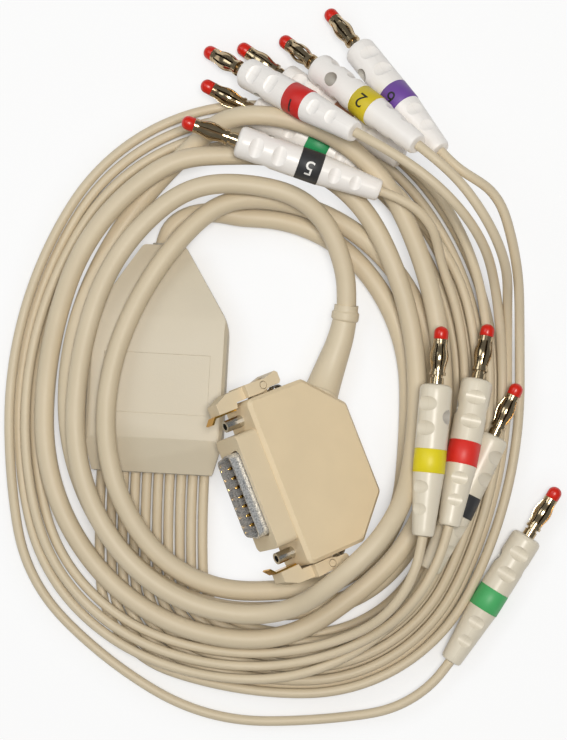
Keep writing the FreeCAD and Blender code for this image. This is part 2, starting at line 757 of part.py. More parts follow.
def plug_grip(hole):
    """Moulded grip: tapered rear, straight front, finger dimples and cross hole."""
    floor = GRIP_R - RING_DEPTH
    body = turned([
        (0, GRIP_REAR_R - 0.8), (0.8, GRIP_REAR_R), (RING_FROM, GRIP_R - 0.1), (RING_FROM, floor),
        (RING_TO, floor), (RING_TO, GRIP_R), (GRIP_LENGTH - 1.5, GRIP_R),
        (GRIP_LENGTH - 0.4, GRIP_R - 0.5), (GRIP_LENGTH, GRIP_R - 1.5),
    ])
    body = body.cut(turned([(GRIP_LENGTH - SHANK_IN, SHANK_R), (GRIP_LENGTH + 1, SHANK_R)], PIN_SIDES))
    body = body.cut(hole)
    for x, depth in FRONT_DIMPLES + REAR_DIMPLES:
        share = min(1.0, x / RING_FROM)
        surface = GRIP_REAR_R + (GRIP_R - GRIP_REAR_R) * share
        for side in (1, -1):
            centre = V(x, side * (surface + DIMPLE_CUT_R - depth), -8)
            body = body.cut(dimple_cutter(centre))
    return body


def plug_ring():
    """Colour band let into the grip."""
    floor = GRIP_R - RING_DEPTH
    outside = turned([(RING_FROM, GRIP_R), (RING_TO, GRIP_R)])
    return outside.cut(turned([(RING_FROM, floor), (RING_TO, floor)]))


def plug_pin():
    """Metal pin: shank in the grip, collar, core of the spring and end collar."""
    return turned([
        (GRIP_LENGTH - SHANK_IN, SHANK_R), (COLLAR_FROM, SHANK_R), (COLLAR_FROM, COLLAR_R),
        (SPRING_FROM, COLLAR_R), (SPRING_FROM, CORE_R), (SPRING_TO, CORE_R),
        (SPRING_TO, SPRING_END_R + 0.1), (SPRING_TO + 0.7, SPRING_END_R + 0.1),
    ], PIN_SIDES)


def spring_leaf():
    """One bowed leaf of the barrel spring."""
    quarter = (SPRING_TO - SPRING_FROM) / 4
    ends = (SPRING_FROM + 0.5, SPRING_FROM + quarter, SPRING_TO - quarter, SPRING_TO - 0.5)
    heights = (SPRING_END_R, SPRING_BELLY_R, SPRING_BELLY_R, SPRING_END_R)
    outside = [V(x, -LEAF_WIDTH / 2, r) for x, r in zip(ends, heights)]
    inside = [V(x, -LEAF_WIDTH / 2, r - LEAF_THICK) for x, r in zip(ends, heights)]
    face = Part.Face(Part.makePolygon(outside + inside[::-1] + outside[:1]))
    return face.extrude(V(0, LEAF_WIDTH, 0))


def spring_band(start):
    """End band of the barrel, round the ends of the leaves."""
    ends = (V(start, 0, 0), V(start + BAND_WIDTH, 0, 0))
    rim = faceted([ring_points(end, V(1, 0, 0), BAND_R, LEAF_COUNT) for end in ends])
    return rim.cut(faceted([ring_points(end, V(1, 0, 0), BAND_EYE_R, LEAF_COUNT) for end in ends]))


def lantern_spring():
    """Slotted barrel: bowed leaves between two bands."""
    barrel = spring_band(SPRING_FROM).fuse(spring_band(SPRING_TO - BAND_WIDTH))
    for number in range(LEAF_COUNT):
        leaf = spring_leaf()
        leaf.rotate(V(0, 0, 0), V(1, 0, 0), 360 / LEAF_COUNT * (number + 0.5))
        barrel = barrel.fuse(leaf)
    return barrel.removeSplitter()


def plug_tip():
    """Rounded insulating tip."""
    start = SPRING_TO + 0.7
    return turned([
        (start, TIP_R), (PLUG_LENGTH - 1.4, TIP_R), (PLUG_LENGTH - 0.4, TIP_R * 0.72),
        (PLUG_LENGTH, TIP_R * 0.3),
    ])


def placed_plug(shape, tip, rear, roll):
    """Lay a plug piece along the line from its rear end to its tip."""
    axis = (tip - rear).normalize()
    side = UP.cross(axis).normalize()
    over = axis.cross(side)
    lie = FreeCAD.Rotation(axis, side, over, "XYZ")
    lie = lie.multiply(FreeCAD.Rotation(V(1, 0, 0), roll))
    piece = shape.copy()
    piece.Placement = FreeCAD.Placement(rear, lie)
    return piece


def build_plugs(nodes):
    """Ten plugs of one form, each with its own grip and band."""
    plain_grip, socket_grip = plug_grip(flat_sided_hole()), plug_grip(round_hole())
    ring, pin = plug_ring(), plug_pin()
    spring, tip_form = lantern_spring(), plug_tip()
    pins, springs, tips = [], [], []
    for name, (tip, rear, roll) in PLUGS.items():
        grip = socket_grip if name == SOCKET_PLUG else plain_grip
        nodes[name + "_grip"] = placed_plug(grip, tip, rear, roll)
        nodes[name + "_ring"] = placed_plug(ring, tip, rear, roll)
        pins.append(placed_plug(pin, tip, rear, roll))
        springs.append(placed_plug(spring, tip, rear, roll))
        tips.append(placed_plug(tip_form, tip, rear, roll))
    nodes["plug_pins"] = Part.makeCompound(pins)
    nodes["lantern_springs"] = Part.makeCompound(springs)
    nodes["plug_tips"] = Part.makeCompound(tips)


def build_cords(nodes):
    """The trunk and the ten leads."""
    nodes["trunk_cable"] = cord("trunk_cable", trunk_stops(), TRUNK_D, TRUNK_SIDES)
    for index, name in enumerate(PLUGS):
        node = name + "_lead"
        nodes[node] = cord(node, lead_stops(name, index), LEAD_D, LEAD_SIDES)


def main():
    """Build every node, write its file and print the rigid pieces' box."""
    os.makedirs("parts", exist_ok=True)
    nodes = {}
    build_yoke(nodes)
    build_connector(nodes)
    nodes["cable_boot"] = cable_boot()
    build_plugs(nodes)
    build_cords(nodes)
    box = FreeCAD.BoundBox()
    for name, shape in nodes.items():
        solid = save(name, shape)
        if not name.endswith(("_lead", "_cable")):
            box.add(solid.BoundBox)
    print("rigid box", box)


if __name__ == "__main__":
    main()
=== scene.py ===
"""Looks of a coiled ten-lead patient cable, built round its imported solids."""
import logging
import math
from collections.abc import Iterator
from contextlib import contextmanager
from dataclasses import dataclass, field
from enum import Enum
from typing import Any, Optional, Union

import bpy
from mathutils import Matrix, Vector


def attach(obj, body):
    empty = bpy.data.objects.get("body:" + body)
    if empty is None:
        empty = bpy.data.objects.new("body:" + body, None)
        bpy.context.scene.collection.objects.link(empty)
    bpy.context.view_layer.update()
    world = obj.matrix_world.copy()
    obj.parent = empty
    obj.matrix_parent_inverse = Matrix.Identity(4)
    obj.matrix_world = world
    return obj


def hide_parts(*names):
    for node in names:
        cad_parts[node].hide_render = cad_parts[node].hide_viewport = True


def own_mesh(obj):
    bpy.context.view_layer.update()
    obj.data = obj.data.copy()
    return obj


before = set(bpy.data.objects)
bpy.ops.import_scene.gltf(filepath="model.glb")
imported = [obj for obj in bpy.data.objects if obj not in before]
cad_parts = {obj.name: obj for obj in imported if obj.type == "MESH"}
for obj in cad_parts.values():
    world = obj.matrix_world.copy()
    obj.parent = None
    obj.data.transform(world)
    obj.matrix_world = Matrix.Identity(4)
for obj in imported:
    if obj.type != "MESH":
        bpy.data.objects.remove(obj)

LOG = logging.getLogger("patient_cable")
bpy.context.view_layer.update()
ROOT_BODY = "cable_set"
PLACE_MARK = "own_place"

# Plan centre of the rigid pieces in the photograph's own layout, in metres.
ORIGIN = Vector((0.011513, 0.009740, 0.0))
PHOTO_WIDTH = 567
PIXELS_PER_METRE = 3450.0
CAMERA_HEIGHT = 0.55
SENSOR_WIDTH = 36.0
UP = Vector((0.0, 0.0, 1.0))
TINY = 1e-9
MERGE = 1e-6

Stop = tuple[float, ...]
Ring = tuple[float, float]
Waves = tuple[float, float]
Colour = tuple[float, float, float]
Number = Union[float, "Sock"]
Sockets = dict[Union[str, int], Any]


def linear(red: int, green: int, blue: int) -> Colour:
    """Turn a screen colour into the linear values that a shader takes.

    Args:
        red: Red from 0 to 255.
        green: Green from 0 to 255.
        blue: Blue from 0 to 255.

    Returns:
        The linear red, green and blue.
    """
    values = []
    for value in (red, green, blue):
        share = value / 255
        values.append(share / 12.92 if share <= 0.04045 else ((share + 0.055) / 1.055) ** 2.4)
    return (values[0], values[1], values[2])


class Sock:
    """A shader socket that takes part in Python expressions."""

    def __init__(self, tree: "ShaderTree", socket: bpy.types.NodeSocket) -> None:
        """Keep the socket and the tree it belongs to."""
        self.tree = tree
        self.socket = socket

    def _math(self, operation: str, first: Number, second: Number) -> "Sock":
        """Result of a Math node for one operator."""
        return self.tree.node("ShaderNodeMath", {"operation": operation}, {0: first, 1: second}).out()

    def __add__(self, other: Number) -> "Sock":
        """Sum."""
        return self._math("ADD", self, other)

    def __radd__(self, other: Number) -> "Sock":
        """Sum with the socket on the right."""
        return self._math("ADD", other, self)

    def __sub__(self, other: Number) -> "Sock":
        """Difference."""
        return self._math("SUBTRACT", self, other)

    def __rsub__(self, other: Number) -> "Sock":
        """Difference with the socket on the right."""
        return self._math("SUBTRACT", other, self)

    def __mul__(self, other: Number) -> "Sock":
        """Product."""
        return self._math("MULTIPLY", self, other)

    def __rmul__(self, other: Number) -> "Sock":
        """Product with the socket on the right."""
        return self._math("MULTIPLY", other, self)

    def __pow__(self, other: Number) -> "Sock":
        """Power."""
        return self._math("POWER", self, other)


class Built:
    """A shader node with short access to its results."""

    def __init__(self, tree: "ShaderTree", node: bpy.types.Node) -> None:
        """Keep the node and its tree."""
        self.tree = tree
        self.node = node

    def out(self, name: Union[str, int] = 0) -> Sock:
        """Result of the node by name or number."""
        return Sock(self.tree, self.node.outputs[name])


class ShaderTree:
    """The node tree of one material or world."""

    def __init__(self, holder: Any) -> None:
        """Empty the holder's node tree.

        Args:
            holder: A material or a world.
        """
        holder.use_nodes = True
        self.tree = holder.node_tree
        self.tree.nodes.clear()

    def node(self, kind: str, settings: dict[str, Any], sockets: Sockets) -> Built:
        """Add a node.

        Args:
            kind: The node's type.
            settings: Its properties, set before the sockets.
            sockets: Values or links of its inputs.

        Returns:
            The node, wrapped.
        """
        made = self.tree.nodes.new(kind)
        for name, value in settings.items():
            setattr(made, name, value)
        for name, value in sockets.items():
            target = made.inputs[name]
            if isinstance(value, Sock):
                self.tree.links.new(value.socket, target)
            else:
                target.default_value = value
        return Built(self, made)

    def noise(self, waves: Waves) -> Sock:
        """Even noise on the piece's own coordinates.

        Args:
            waves: Waves in a metre, and finer layers.

        Returns:
            The noise from 0 to 1.
        """
        place = self.node("ShaderNodeTexCoord", {}, {}).out("Object")
        sockets = {"Vector": place, "Scale": waves[0], "Detail": waves[1]}
        return self.node("ShaderNodeTexNoise", {}, sockets).out("Fac")

    def mix(self, share: Number, first: Union[Colour, Sock], second: Union[Colour, Sock]) -> Sock:
        """Mix of two plain or varying colours.

        Args:
            share: How much of the second colour.
            first: The first colour.
            second: The second colour.

        Returns:
            The mixed colour.
        """
        sockets: Sockets = {"Factor": share}
        for number, value in ((6, first), (7, second)):
            sockets[number] = value if isinstance(value, Sock) else (*value, 1.0)
        return self.node("ShaderNodeMix", {"data_type": "RGBA"}, sockets).out(2)

    def bump(self, height: Sock, strength: float, distance: float) -> Sock:
        """Normal of a fine relief, of some strength and a depth in metres."""
        sockets = {"Strength": strength, "Distance": distance, "Height": height}
        return self.node("ShaderNodeBump", {}, sockets).out()

    def own_place(self) -> tuple[Sock, Sock, Sock]:
        """Place on a piece in the frame that it was modelled in.

        Returns:
            Its x, y and z.
        """
        place = self.node("ShaderNodeAttribute", {"attribute_name": PLACE_MARK}, {}).out("Vector")
        axes = self.node("ShaderNodeSeparateXYZ", {}, {0: place})
        return axes.out(0), axes.out(1), axes.out(2)

    def below(self, value: Sock, limit: float) -> Sock:
        """One where a value is below a limit, and zero elsewhere."""
        return self.node("ShaderNodeMath", {"operation": "LESS_THAN"}, {0: value, 1: limit}).out()

    def surface(self, sockets: Sockets) -> None:
        """Close the tree with a Principled shader of these sockets."""
        shader = self.node("ShaderNodeBsdfPrincipled", {}, sockets)
        self.node("ShaderNodeOutputMaterial", {}, {"Surface": shader.out()})


def uneven(middle: float, spread: float, cloud: Sock) -> Sock:
    """A value that wanders about its middle with a noise."""
    return middle - spread / 2 + spread * cloud


@dataclass(frozen=True)
class Coating:
    """What all finishes share: a name, a main colour and a roughness."""

    name: str
    colour: Colour
    roughness: float

    def sockets(self, tree: ShaderTree) -> Sockets:
        """The shader's sockets, which each finish gives."""
        raise NotImplementedError

    def toned(self, factor: float) -> Colour:
        """The main colour made lighter or darker."""
        return (self.colour[0] * factor, self.colour[1] * factor, self.colour[2] * factor)

    def material(self) -> bpy.types.Material:
        """Build the finish.

        Returns:
            Its material.
        """
        made = bpy.data.materials.new(self.name)
        tree = ShaderTree(made)
        tree.surface(self.sockets(tree))
        return made


@dataclass(frozen=True)
class Moulded(Coating):
    """Moulded plastic with a fine grain and slight mottling."""

    grain: float
    grain_waves: Waves = (2600.0, 2.0)
    grain_depth: float = 0.0001
    tones: tuple[float, float] = (0.94, 1.06)
    tone_waves: Waves = (90.0, 4.0)
    spread: float = 0.12

    def sockets(self, tree: ShaderTree) -> Sockets:
        """Mottled tone, uneven sheen and grain.

        Args:
            tree: The material's tree.

        Returns:
            The shader's sockets.
        """
        cloud = tree.noise(self.tone_waves)
        return {
            "Base Color": tree.mix(cloud, self.toned(self.tones[0]), self.toned(self.tones[1])),
            "Roughness": uneven(self.roughness, self.spread, cloud),
            "Normal": tree.bump(tree.noise(self.grain_waves), self.grain, self.grain_depth),
        }


@dataclass(frozen=True)
class Band(Moulded):
    """Satin coloured band let into a plug, or the print on it."""

    roughness: float = 0.46
    grain: float = 0.15
    grain_waves: Waves = (1300.0, 2.0)
    grain_depth: float = 0.00006
    tones: tuple[float, float] = (0.9, 1.05)
    tone_waves: Waves = (220.0, 3.0)
    spread: float = 0.1


@dataclass(frozen=True)
class Handle(Coating):
    """Smooth plug moulding with a parting line and a metal-lined cross hole."""

    shade: Colour
    shade_share: float = 0.5
    shade_waves: Waves = (140.0, 3.0)
    spread: float = 0.1
    skin: float = 0.15
    skin_waves: Waves = (1500.0, 2.0)
    relief: float = 0.12
    relief_depth: float = 0.00006
    line_width: float = 0.00007
    line_share: float = 0.4
    hole_height: float = 0.0333
    hole_radius: float = 0.00203
    lining: Colour = linear(226, 222, 214)
    lining_shine: float = 0.3

    def sockets(self, tree: ShaderTree) -> Sockets:
        """Clouded tone, parting line and the lining of the hole.

        Args:
            tree: The material's tree.

        Returns:
            The shader's sockets.
        """
        x, y, z = tree.own_place()
        off_line = tree.node("ShaderNodeMath", {"operation": "ABSOLUTE"}, {0: y}).out()
        line = tree.below(off_line, self.line_width)
        hole = tree.below((x * x + (z - self.hole_height) ** 2.0) ** 0.5, self.hole_radius)
        cloud = tree.noise(self.shade_waves)
        body = tree.mix(cloud * self.shade_share + line * self.line_share, self.colour, self.shade)
        height = tree.noise(self.skin_waves) * self.skin + line
        return {
            "Base Color": tree.mix(hole, body, self.lining),
            "Metallic": hole * self.lining_shine,
            "Roughness": uneven(self.roughness, self.spread, cloud),
            "Normal": tree.bump(height, self.relief, self.relief_depth),
        }


@dataclass(frozen=True)
class Jacket(Coating):
    """Soft cord jacket: satin, slightly uneven in tone and thickness."""

    dusk: Colour
    dusk_waves: Waves = (55.0, 3.0)
    spread: float = 0.1
    shine: float = 0.36
    skin: float = 0.1
    skin_waves: Waves = (900.0, 3.0)
    skin_depth: float = 0.0001

    def sockets(self, tree: ShaderTree) -> Sockets:
        """Uneven tone and a soft skin.

        Args:
            tree: The material's tree.

        Returns:
            The shader's sockets.
        """
        skin = tree.noise(self.skin_waves)
        return {
            "Base Color": tree.mix(tree.noise(self.dusk_waves), self.dusk, self.colour),
            "Roughness": uneven(self.roughness, self.spread, skin),
            "Specular IOR Level": self.shine,
            "Normal": tree.bump(skin, self.skin, self.skin_depth),
        }


@dataclass(frozen=True)
class Plated(Coating):
    """Plated metal, slightly clouded."""

    dim: float = 0.86
    cloud_waves: Waves = (300.0, 3.0)
    polish: float = 0.7

    def sockets(self, tree: ShaderTree) -> Sockets:
        """Clouded tone and sheen.

        Args:
            tree: The material's tree.

        Returns:
            The shader's sockets.
        """
        cloud = tree.noise(self.cloud_waves)
        least = self.roughness * self.polish
        return {
            "Base Color": tree.mix(cloud, self.toned(self.dim), self.colour),
            "Metallic": 1.0,
            "Roughness": least + least * cloud,
        }


@dataclass(frozen=True)
class PlugMetal(Plated):
    """Plated plug metal, dull on the core that shows through the barrel's slots, where the shade inside the
    barrel is painted as a dark colour.
    """

    # Dark colour of the core: painted shade inside the barrel.
    painted_core_shade: Colour = linear(66, 52, 36)
    core_radius: float = 0.0014
    core_dull: float = 0.3

    def sockets(self, tree: ShaderTree) -> Sockets:
        """Plating with painted shade on the core.

        Args:
            tree: The material's tree.

        Returns:
            The shader's sockets.
        """
        x, y, _ = tree.own_place()
        inner = tree.below((x * x + y * y) ** 0.5, self.core_radius)
        found = super().sockets(tree)
        # Painted shade: the core within the barrel's radius is coloured dark.
        found["Base Color"] = tree.mix(inner, found["Base Color"], self.painted_core_shade)
        found["Roughness"] += inner * self.core_dull
        return found


@dataclass(frozen=True)
class Speckled(Coating):
    """Bright plated sheet with a fine relief, its sparkle painted into its colour as light and dark flecks:
    painted glints and painted reflections.
    """

    # Colour of the dark flecks: painted reflections in the plating.
    painted_dark_reflection: Colour
    glint_and_relief_waves: Waves = (2300.0, 2.0)
    contrast: float = 4.0
    bright: float = 0.75
    shine: float = 0.7
    spread: float = 0.16
    cloud_waves: Waves = (420.0, 3.0)
    relief: float = 0.3
    relief_depth: float = 0.0001

    def sockets(self, tree: ShaderTree) -> Sockets:
        """Painted glints and reflections as flecks in the tone, and relief.

        Args:
            tree: The material's tree.

        Returns:
            The shader's sockets.
        """
        skin = tree.noise(self.glint_and_relief_waves)
        values = {0: (skin - 0.5) * self.contrast, 1: self.bright}
        share = tree.node("ShaderNodeMath", {"operation": "ADD", "use_clamp": True}, values).out()
        return {
            # The flecks in the base colour are painted glints and painted dark reflections; the bump is the
            # real fine relief.
            "Base Color": tree.mix(share, self.painted_dark_reflection, self.colour),
            "Metallic": self.shine,
            "Roughness": uneven(self.roughness, self.spread, tree.noise(self.cloud_waves)),
            "Normal": tree.bump(skin, self.relief, self.relief_depth),
        }


class Finish(Enum):
    """The finishes of the cable. Apart from the inks, they have the names of the record's slots."""

    CORD_JACKET = Jacket("cord_jacket", linear(219, 204, 177), 0.48, linear(207, 192, 164))
    BOOT = Moulded("boot", linear(216, 202, 175), 0.48, 0.08)
    YOKE_SHELL = Moulded("yoke_shell", linear(204, 193, 171), 0.46, 0.2)
    RUBBER_GREY = Moulded("rubber_grey", linear(176, 170, 156), 0.6, 0.2)
    HOOD_SHELL = Moulded("hood_shell", linear(229, 209, 174), 0.46, 0.2)
    SHROUD = Moulded("shroud", linear(224, 206, 174), 0.46, 0.16)
    LEVER = Moulded("lever", linear(224, 206, 174), 0.44, 0.16)
    INSULATOR = Moulded("insulator", linear(48, 48, 50), 0.5, 0.1)
    LIMB_GRIP = Handle("limb_grip", linear(230, 221, 202), 0.34, linear(216, 206, 185))
    CHEST_GRIP = Handle("chest_grip", linear(248, 244, 240), 0.34, linear(236, 230, 224))
    INK = Band("ink", linear(34, 32, 32), 0.45)
    PALE_INK = Band("pale_ink", linear(236, 234, 230), 0.45)
    RED_TIP = Moulded("red_tip", linear(210, 34, 16), 0.3, 0.05)
    # The nickel's core is painted dark as shade inside the barrel.
    NICKEL = PlugMetal("nickel", linear(194, 173, 139), 0.17)
    # The chrome's light and dark flecks are painted glints and painted reflections.
    CHROME = Speckled("chrome", linear(250, 250, 248), 0.18, linear(172, 174, 178))
    POST_METAL = Plated("post_metal", linear(216, 214, 208), 0.22)
    STEEL = Plated("steel", linear(196, 195, 194), 0.26)
    GOLD = Plated("gold", linear(226, 176, 84), 0.22)
    LIMB_YELLOW_BAND = Band("limb_yellow_band", linear(232, 214, 28))
    LIMB_RED_BAND = Band("limb_red_band", linear(226, 48, 38))
    LIMB_BLACK_BAND = Band("limb_black_band", linear(50, 50, 52))
    LIMB_GREEN_BAND = Band("limb_green_band", linear(78, 178, 106))
    CHEST_VIOLET_BAND = Band("chest_violet_band", linear(114, 74, 160))
    CHEST_YELLOW_BAND = Band("chest_yellow_band", linear(212, 190, 36))
    CHEST_RED_BAND = Band("chest_red_band", linear(206, 34, 28))
    CHEST_BROWN_BAND = Band("chest_brown_band", linear(160, 112, 84))
    CHEST_GREEN_BAND = Band("chest_green_band", linear(34, 148, 88))
    CHEST_BLACK_BAND = Band("chest_black_band", linear(50, 50, 52))


MATERIALS: dict[Finish, bpy.types.Material] = {}


def dress(piece: bpy.types.Object, finish: Finish) -> None:
    """Give a piece the material of a finish, which is built on first use.

    Args:
        piece: The piece.
        finish: Its finish.
    """
    if finish not in MATERIALS:
        MATERIALS[finish] = finish.value.material()
    piece.data.materials.clear()
    piece.data.materials.append(MATERIALS[finish])


def dress_nodes(finishes: dict[str, Finish]) -> None:
    """Dress the solids that show as they are.

    Args:
        finishes: The finish of each solid.
    """
    for node, finish in finishes.items():
        dress(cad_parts[node], finish)
        LOG.info("dressed %s", node)


def declare(piece: bpy.types.Object, body: str, finish: Finish, node: Optional[str] = None) -> None:
    """Dress a finished piece and say what it rides on and stands for.

    Args:
        piece: The piece.
        body: The body that it rides on.
        finish: Its finish.
        node: The solid that it replaces, if any.
    """
    dress(piece, finish)
    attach(piece, body)
    if node:
        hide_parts(node)
    LOG.info("built %s", piece.name)


def deselect() -> None:
    """Leave nothing selected."""
    bpy.ops.object.select_all(action="DESELECT")


def pick(piece: bpy.types.Object) -> None:
    """Select one piece alone and make it the active one.

    Args:
        piece: The piece.
    """
    deselect()
    piece.select_set(True)
    bpy.context.view_layer.objects.active = piece


@contextmanager
def editing(piece: bpy.types.Object, whole: bool = True) -> Iterator[None]:
    """Edit a piece's mesh and leave edit mode afterwards.

    Args:
        piece: The piece.
        whole: Whether all of it is selected first.
    """
    pick(piece)
    bpy.ops.object.mode_set(mode="EDIT")
    if whole:
        bpy.ops.mesh.select_all(action="SELECT")
    yield
    bpy.ops.object.mode_set(mode="OBJECT")


def modify(piece: bpy.types.Object, kind: str, **settings: Any) -> None:
    """Add a modifier to a piece and apply it.

    Args:
        piece: The piece.
        kind: The modifier's type.
        settings: Its properties.
    """
    pick(piece)
    step = piece.modifiers.new("step", kind)
    for name, value in settings.items():
        setattr(step, name, value)
    bpy.ops.object.modifier_apply(modifier=step.name)


def smooth(piece: bpy.types.Object, angle: float) -> None:
    """Shade a piece smooth, apart from edges sharper than an angle in degrees."""
    pick(piece)
    bpy.ops.object.shade_smooth_by_angle(angle=math.radians(angle))


def cut(piece: bpy.types.Object, cutter: bpy.types.Object) -> None:
    """Take a closed cutter's form out of a piece and drop the cutter."""
    modify(piece, "BOOLEAN", operation="DIFFERENCE", solver="EXACT", object=cutter)
    bpy.data.objects.remove(cutter)


def bar(radius: float, length: float, place: Vector) -> bpy.types.Object:
    """A round bar along Y, used as a cutter.

    Args:
        radius: Its radius.
        length: Its length.
        place: Its middle.

    Returns:
        The bar.
    """
    deselect()
    bpy.ops.mesh.primitive_cylinder_add(
        vertices=72, radius=radius, depth=length, location=place, rotation=(math.pi / 2, 0.0, 0.0))
    return bpy.context.object


def mark_places(piece: bpy.types.Object) -> None:
    """Keep each corner's place in the piece's own frame as an attribute.

    Args:
        piece: The piece, before it is laid.
    """
    store = piece.data.attributes.new(PLACE_MARK, "FLOAT_VECTOR", "POINT")
    for slot, corner in zip(store.data, piece.data.vertices):
        slot.vector = corner.co


def placed_copy(piece: bpy.types.Object, name: str, lie: Matrix) -> bpy.types.Object:
    """A copy of a piece with its own mesh, laid where it belongs.

    Args:
        piece: The piece that is copied.
        name: The copy's name.
        lie: Where the copy lies.

    Returns:
        The copy.
    """
    copy = bpy.data.objects.new(name, piece.data.copy())
    copy.data.name = name
    copy.data.transform(lie)
    bpy.context.collection.objects.link(copy)
    return copy


def joined(pieces: list[bpy.types.Object], name: str) -> bpy.types.Object:
    """Join pieces into one.

    Args:
        pieces: The pieces.
        name: Name of the result.

    Returns:
        The joined piece.
    """
    pick(pieces[0])
    for piece in pieces:
        piece.select_set(True)
    bpy.ops.object.join()
    pieces[0].name = name
    return pieces[0]


def solid_copy(node: str, name: str) -> bpy.types.Object:
    """A copy of a solid with its doubled corners merged.

    Args:
        node: The solid.
        name: The copy's name.

    Returns:
        The copy.
    """
    made = bpy.data.objects.new(name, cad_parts[node].data.copy())
    bpy.context.collection.objects.link(made)
    with editing(made):
        bpy.ops.mesh.remove_doubles(threshold=2 * MERGE)
    return made


def tube(name: str, points: list[Vector], widths: list[float], depth: float, steps: int,
         kind: str) -> bpy.types.Object:
    """A round tube along a line.

    Args:
        name: The tube's name.
        points: Points of the line.
        widths: The tube's width at each point, as a share of its depth.
        depth: Radius at a width of one.
        steps: Steps of its round.
        kind: How the line runs through its points.

    Returns:
        The tube, as a curve.
    """
    line = bpy.data.curves.new(name, "CURVE")
    line.dimensions = "3D"
    line.bevel_depth = depth
    line.bevel_resolution = steps
    line.resolution_u = 3
    line.use_fill_caps = True
    spline = line.splines.new(kind)
    spline.points.add(len(points) - 1)
    for slot, point, width in zip(spline.points, points, widths):
        slot.co = (*point, 1.0)
        slot.radius = width
    spline.order_u = 3
    spline.use_endpoint_u = True
    made = bpy.data.objects.new(name, line)
    bpy.context.collection.objects.link(made)
    return made


@dataclass
class Softened:
    """A moulded solid copied with its sharp edges rounded over."""

    node: str
    body: str
    finish: Finish
    width: float = 0.0003
    steps: int = 3
    sharp: float = 24.0
    flat: float = 0.6

    def build(self) -> None:
        """Copy the solid, clear its flat faces, round its edges and dress it."""
        made = solid_copy(self.node, self.node + "_soft")
        with editing(made):
            bpy.ops.mesh.dissolve_limited(angle_limit=math.radians(self.flat))
        modify(made, "BEVEL", width=self.width, segments=self.steps, limit_method="ANGLE",
               angle_limit=math.radians(self.sharp))
        smooth(made, angle=40.0)
        modify(made, "WEIGHTED_NORMAL", keep_sharp=True)
        declare(made, self.body, self.finish, self.node)


@dataclass
class LatchSpring:
    """A bowed leaf against the hood's side, which flattens as its lever is pressed; this copy keeps its bowed
    form.
    """

    end: str
    hood_half: float = 0.0244
    keep: float = 0.5

    def build(self) -> None:
        """Copy the leaf, shade it smooth and dress it."""
        node = "latch_spring_" + self.end
        made = solid_copy(node, node + "_leaf")
        smooth(made, angle=30.0)
        declare(made, ROOT_BODY, Finish.STEEL, node)
        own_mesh(made)


@dataclass
class Turning:
    """A round form about Z, drawn out ring by ring from a first circle."""

    name: str
    rings: list[Ring]
    sides: int = 32
    closed_ends: bool = True
    reach: float = 0.1

    def fine_rings(self) -> list[Ring]:
        """The rings with more between them where they stand far apart.

        Returns:
            Height and radius of each ring.
        """
        found = [self.rings[0]]
        for (low, narrow), (high, wide) in zip(self.rings, self.rings[1:]):
            count = max(1, math.ceil(abs(high - low) / self.reach - MERGE))
            for number in range(1, count + 1):
                share = number / count
                found.append((low + (high - low) * share, narrow + (wide - narrow) * share))
        return found

    def build(self) -> bpy.types.Object:
        """Draw the form out.

        Returns:
            The piece, with its rings at the given heights and radii.
        """
        fill = "NGON" if self.closed_ends else "NOTHING"
        (start, radius), *later = self.fine_rings()
        deselect()
        bpy.ops.mesh.primitive_circle_add(
            vertices=self.sides, radius=radius, fill_type=fill, location=(0.0, 0.0, start))
        made = bpy.context.object
        made.name = self.name
        bpy.ops.object.transform_apply(location=True, rotation=False, scale=False)
        with editing(made):
            for height, wider in later:
                rise = {"value": (0.0, 0.0, height - start)}
                bpy.ops.mesh.extrude_region_move(TRANSFORM_OT_translate=rise)
                grow = wider / radius
                bpy.ops.transform.resize(value=(grow, grow, 1.0), center_override=(0.0, 0.0, height))
                start, radius = height, wider
            bpy.ops.mesh.select_all(action="SELECT")
            bpy.ops.mesh.remove_doubles(threshold=MERGE)
            bpy.ops.mesh.normals_make_consistent(inside=False)
        return made


class Side(Enum):
    """Headings of the four sides of a turn, in degrees."""

    LEFT = -90.0
    BOTTOM = 0.0
    RIGHT = 90.0
    TOP = 180.0


def direction(heading: float, pitch: float) -> Vector:
    """Unit vector of a plan heading from +X and an upward pitch, in degrees."""
    turn, rise = math.radians(heading), math.radians(pitch)
    return Vector((math.cos(rise) * math.cos(turn), math.cos(rise) * math.sin(turn), math.sin(rise)))


